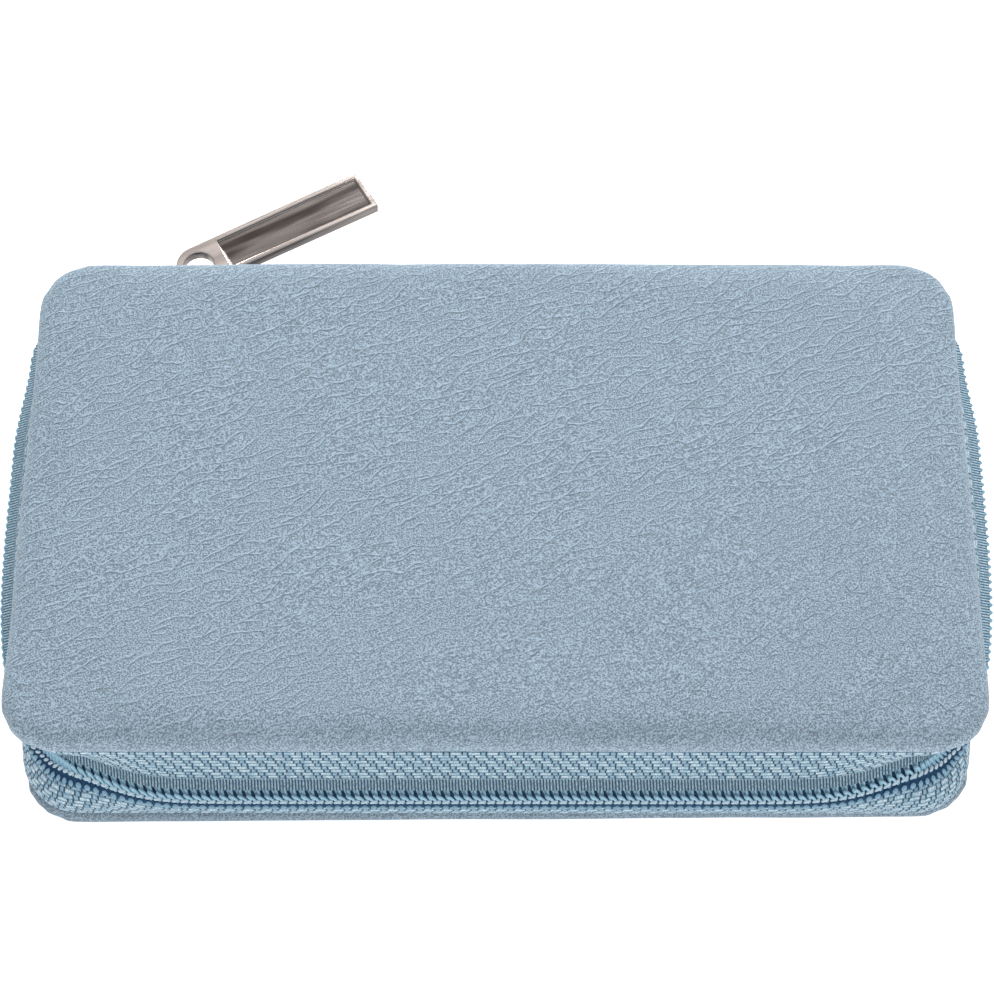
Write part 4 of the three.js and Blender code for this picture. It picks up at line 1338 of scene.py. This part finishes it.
for panel in ("base", "lid"):
    line = hinge_line(panel)
    strip_piece(panel + "_inner_hinge", line, spine_half - tape, hinge_tape, "velour")
print("linings ready")

# %% [markdown]
# The foam under each skin is a soft pad. It is hidden in the finished case, but it is there, so
# it gets its own rounded shape and a foam finish. The boards keep their frame meshes.

# %% The foam and the boards
foam_rim = 0.35 * MM


def foam_piece(node, name, body):
    """A foam pad in a foam sheet's place."""
    low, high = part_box(node)
    inset = half_length - high.x
    piece = new_piece(name, rounded_slab(inset, low.z, high.z, foam_rim), "thin_foam", body, [node])


foam_piece("base_foam", "base_foam_pad", "base")
foam_piece("lid_foam", "lid_foam_pad", "lid")
for node in ("base_board", "lid_board", "spine_board"):
    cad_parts[node].data.materials.clear()
    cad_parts[node].data.materials.append(finishes["stiff_board"])
print("foam and boards ready")

# %% [markdown]
# The rigid pieces keep the frame's exact shapes, but nothing real has razor edges. A copy of
# each one is welded, its flat faces are joined again, and every sharp edge gets a small round.
# The light then catches the edges, which is most of what makes a small metal part look real.
# Large flat faces are kept out of the smooth shading, or they would gleam like bent ones.

# %% Rigid pieces with softened edges
weld = 0.002 * MM
flat_angle = math.radians(1.5)
edge_angle = math.radians(28)
flat_area = 4 * MM ** 2


def softened(node, name, finish, body, rounding, segments=3):
    """A copy of a frame node with rounded edges, which replaces it."""
    bm = bmesh.new()
    bm.from_mesh(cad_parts[node].data)
    bmesh.ops.remove_doubles(bm, verts=bm.verts, dist=weld)
    bmesh.ops.dissolve_limit(bm, angle_limit=flat_angle, verts=bm.verts, edges=bm.edges)
    sharp = [edge for edge in bm.edges if edge.is_manifold and edge.calc_face_angle() > edge_angle]
    bevelled(bm, sharp, rounding, segments, offset_type="WIDTH", clamp_overlap=True)
    bmesh.ops.recalc_face_normals(bm, faces=bm.faces)
    piece = new_piece(name, to_mesh(bm), finish, body, [node])
    for polygon in piece.data.polygons:
        if polygon.area > flat_area:
            for corner in polygon.loop_indices:
                piece.data.edges[piece.data.loops[corner].edge_index].use_edge_sharp = True
    print(name, triangles(piece.data), "triangles")
    return piece


metal_round = 0.3 * MM
tool_round = 0.2 * MM
strap_round = 0.35 * MM
edgewise = 0.3
softened("slider_body", "slider_shell", "gunmetal", "slider", metal_round)
softened("slider_bridge", "slider_arch", "gunmetal", "slider", metal_round)
tab_plate = softened("pull_tab", "tab_plate", "gunmetal", "tab", metal_round)
tab_low, tab_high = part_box("pull_tab")
# The sunk panel and the side faces take the darker plating: a painted dark reflection
tab_plate.data.materials.append(finishes["painted_dark_reflection"])
for polygon in tab_plate.data.polygons:
    from_middle = abs(polygon.center.z - (tab_low.z + tab_high.z) / 2)
    sunk = abs(polygon.normal.z) > facing and from_middle < (tab_high.z - tab_low.z) / 2 - metal_round / 2
    if sunk or abs(polygon.normal.z) < edgewise:
        polygon.material_index = 1
for node, name in (("top_stop_upper", "upper_stop"), ("top_stop_lower", "lower_stop"),
                   ("bottom_stop", "end_stop")):
    softened(node, name, "gunmetal", "spine", tool_round)

tools = {
    "scissors_held_half": ("scissors_lower_half", "tool_steel", "base"),
    "scissors_free_half": ("scissors_upper_half", "tool_steel", "scissors_free"),
    "scissors_screw": ("scissors_pivot_screw", "tool_steel", "base"),
    "clipper_lower_leaf": ("clipper_bottom_blade", "tool_steel", "base"),
    "clipper_upper_leaf": ("clipper_top_blade", "tool_steel", "clipper_jaw"),
    "clipper_rivet": ("clipper_tail_rivet", "tool_steel", "base"),
    "clipper_pin": ("clipper_turning_pin", "tool_steel", "clipper_lever"),
    "clipper_lever": ("clipper_thumb_lever", "tool_steel", "clipper_lever"),
    "cuticle_pusher": ("cuticle_rod", "tool_steel", "lid"),
    "tweezers_held_arm": ("tweezers_back_arm", "tool_steel", "lid"),
    "tweezers_sprung_arm": ("tweezers_front_arm", "tool_steel", "tweezers_arm"),
    "file_blade": ("nail_file_blade", "file_grit", "lid"),
    "file_handle": ("nail_file_handle", "handle_plastic", "lid"),
}
for node, (name, finish, body) in tools.items():
    softened(node, name, finish, body, tool_round)
for node, body in (("scissors_strap", "base"), ("clipper_strap", "base"),
                   ("lid_strap_left", "lid"), ("lid_strap_right", "lid")):
    softened(node, node + "_band", "strap_leather", body, strap_round, 4)

# %% [markdown]
# The link is bent from round wire. A circle is spun into a ring, and the two halves of the ring
# are moved apart to make the flat oval that hangs in the slider's bridge.

# %% The link
link_wire = 0.5 * MM
link_bend = 2 * MM
link_sides = 16
link_steps = 48


def link_ring():
    """The oval ring between the bridge and the tab."""
    low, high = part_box("pull_link")
    middle = (low + high) / 2
    stretch = (high.y - low.y) / 2 - link_bend - link_wire
    bm = bmesh.new()
    circle = bmesh.ops.create_circle(bm, segments=link_sides, radius=link_wire,
                                     matrix=Matrix.Translation((0, link_bend, 0)))
    ring = list({edge for vertex in circle["verts"] for edge in vertex.link_edges})
    bmesh.ops.rotate(bm, cent=(0, link_bend, 0), matrix=Matrix.Rotation(math.pi / 2, 3, "X"),
                     verts=circle["verts"])
    bmesh.ops.rotate(bm, cent=(0, link_bend, 0), matrix=Matrix.Rotation(math.pi / 2, 3, "Z"),
                     verts=circle["verts"])
    bmesh.ops.spin(bm, geom=circle["verts"] + ring, cent=(0, 0, 0), axis=(1, 0, 0), angle=2 * math.pi,
                   steps=link_steps, use_merge=True, use_duplicate=False)
    bmesh.ops.recalc_face_normals(bm, faces=bm.faces)
    for vertex in bm.verts:
        if abs(vertex.co.y) > link_wire / 10:
            vertex.co.y += math.copysign(stretch, vertex.co.y)
        vertex.co += middle
    piece = new_piece("link_ring", to_mesh(bm), "gunmetal", "link", ["pull_link"])
    print("link_ring", triangles(piece.data), "triangles")


link_ring()
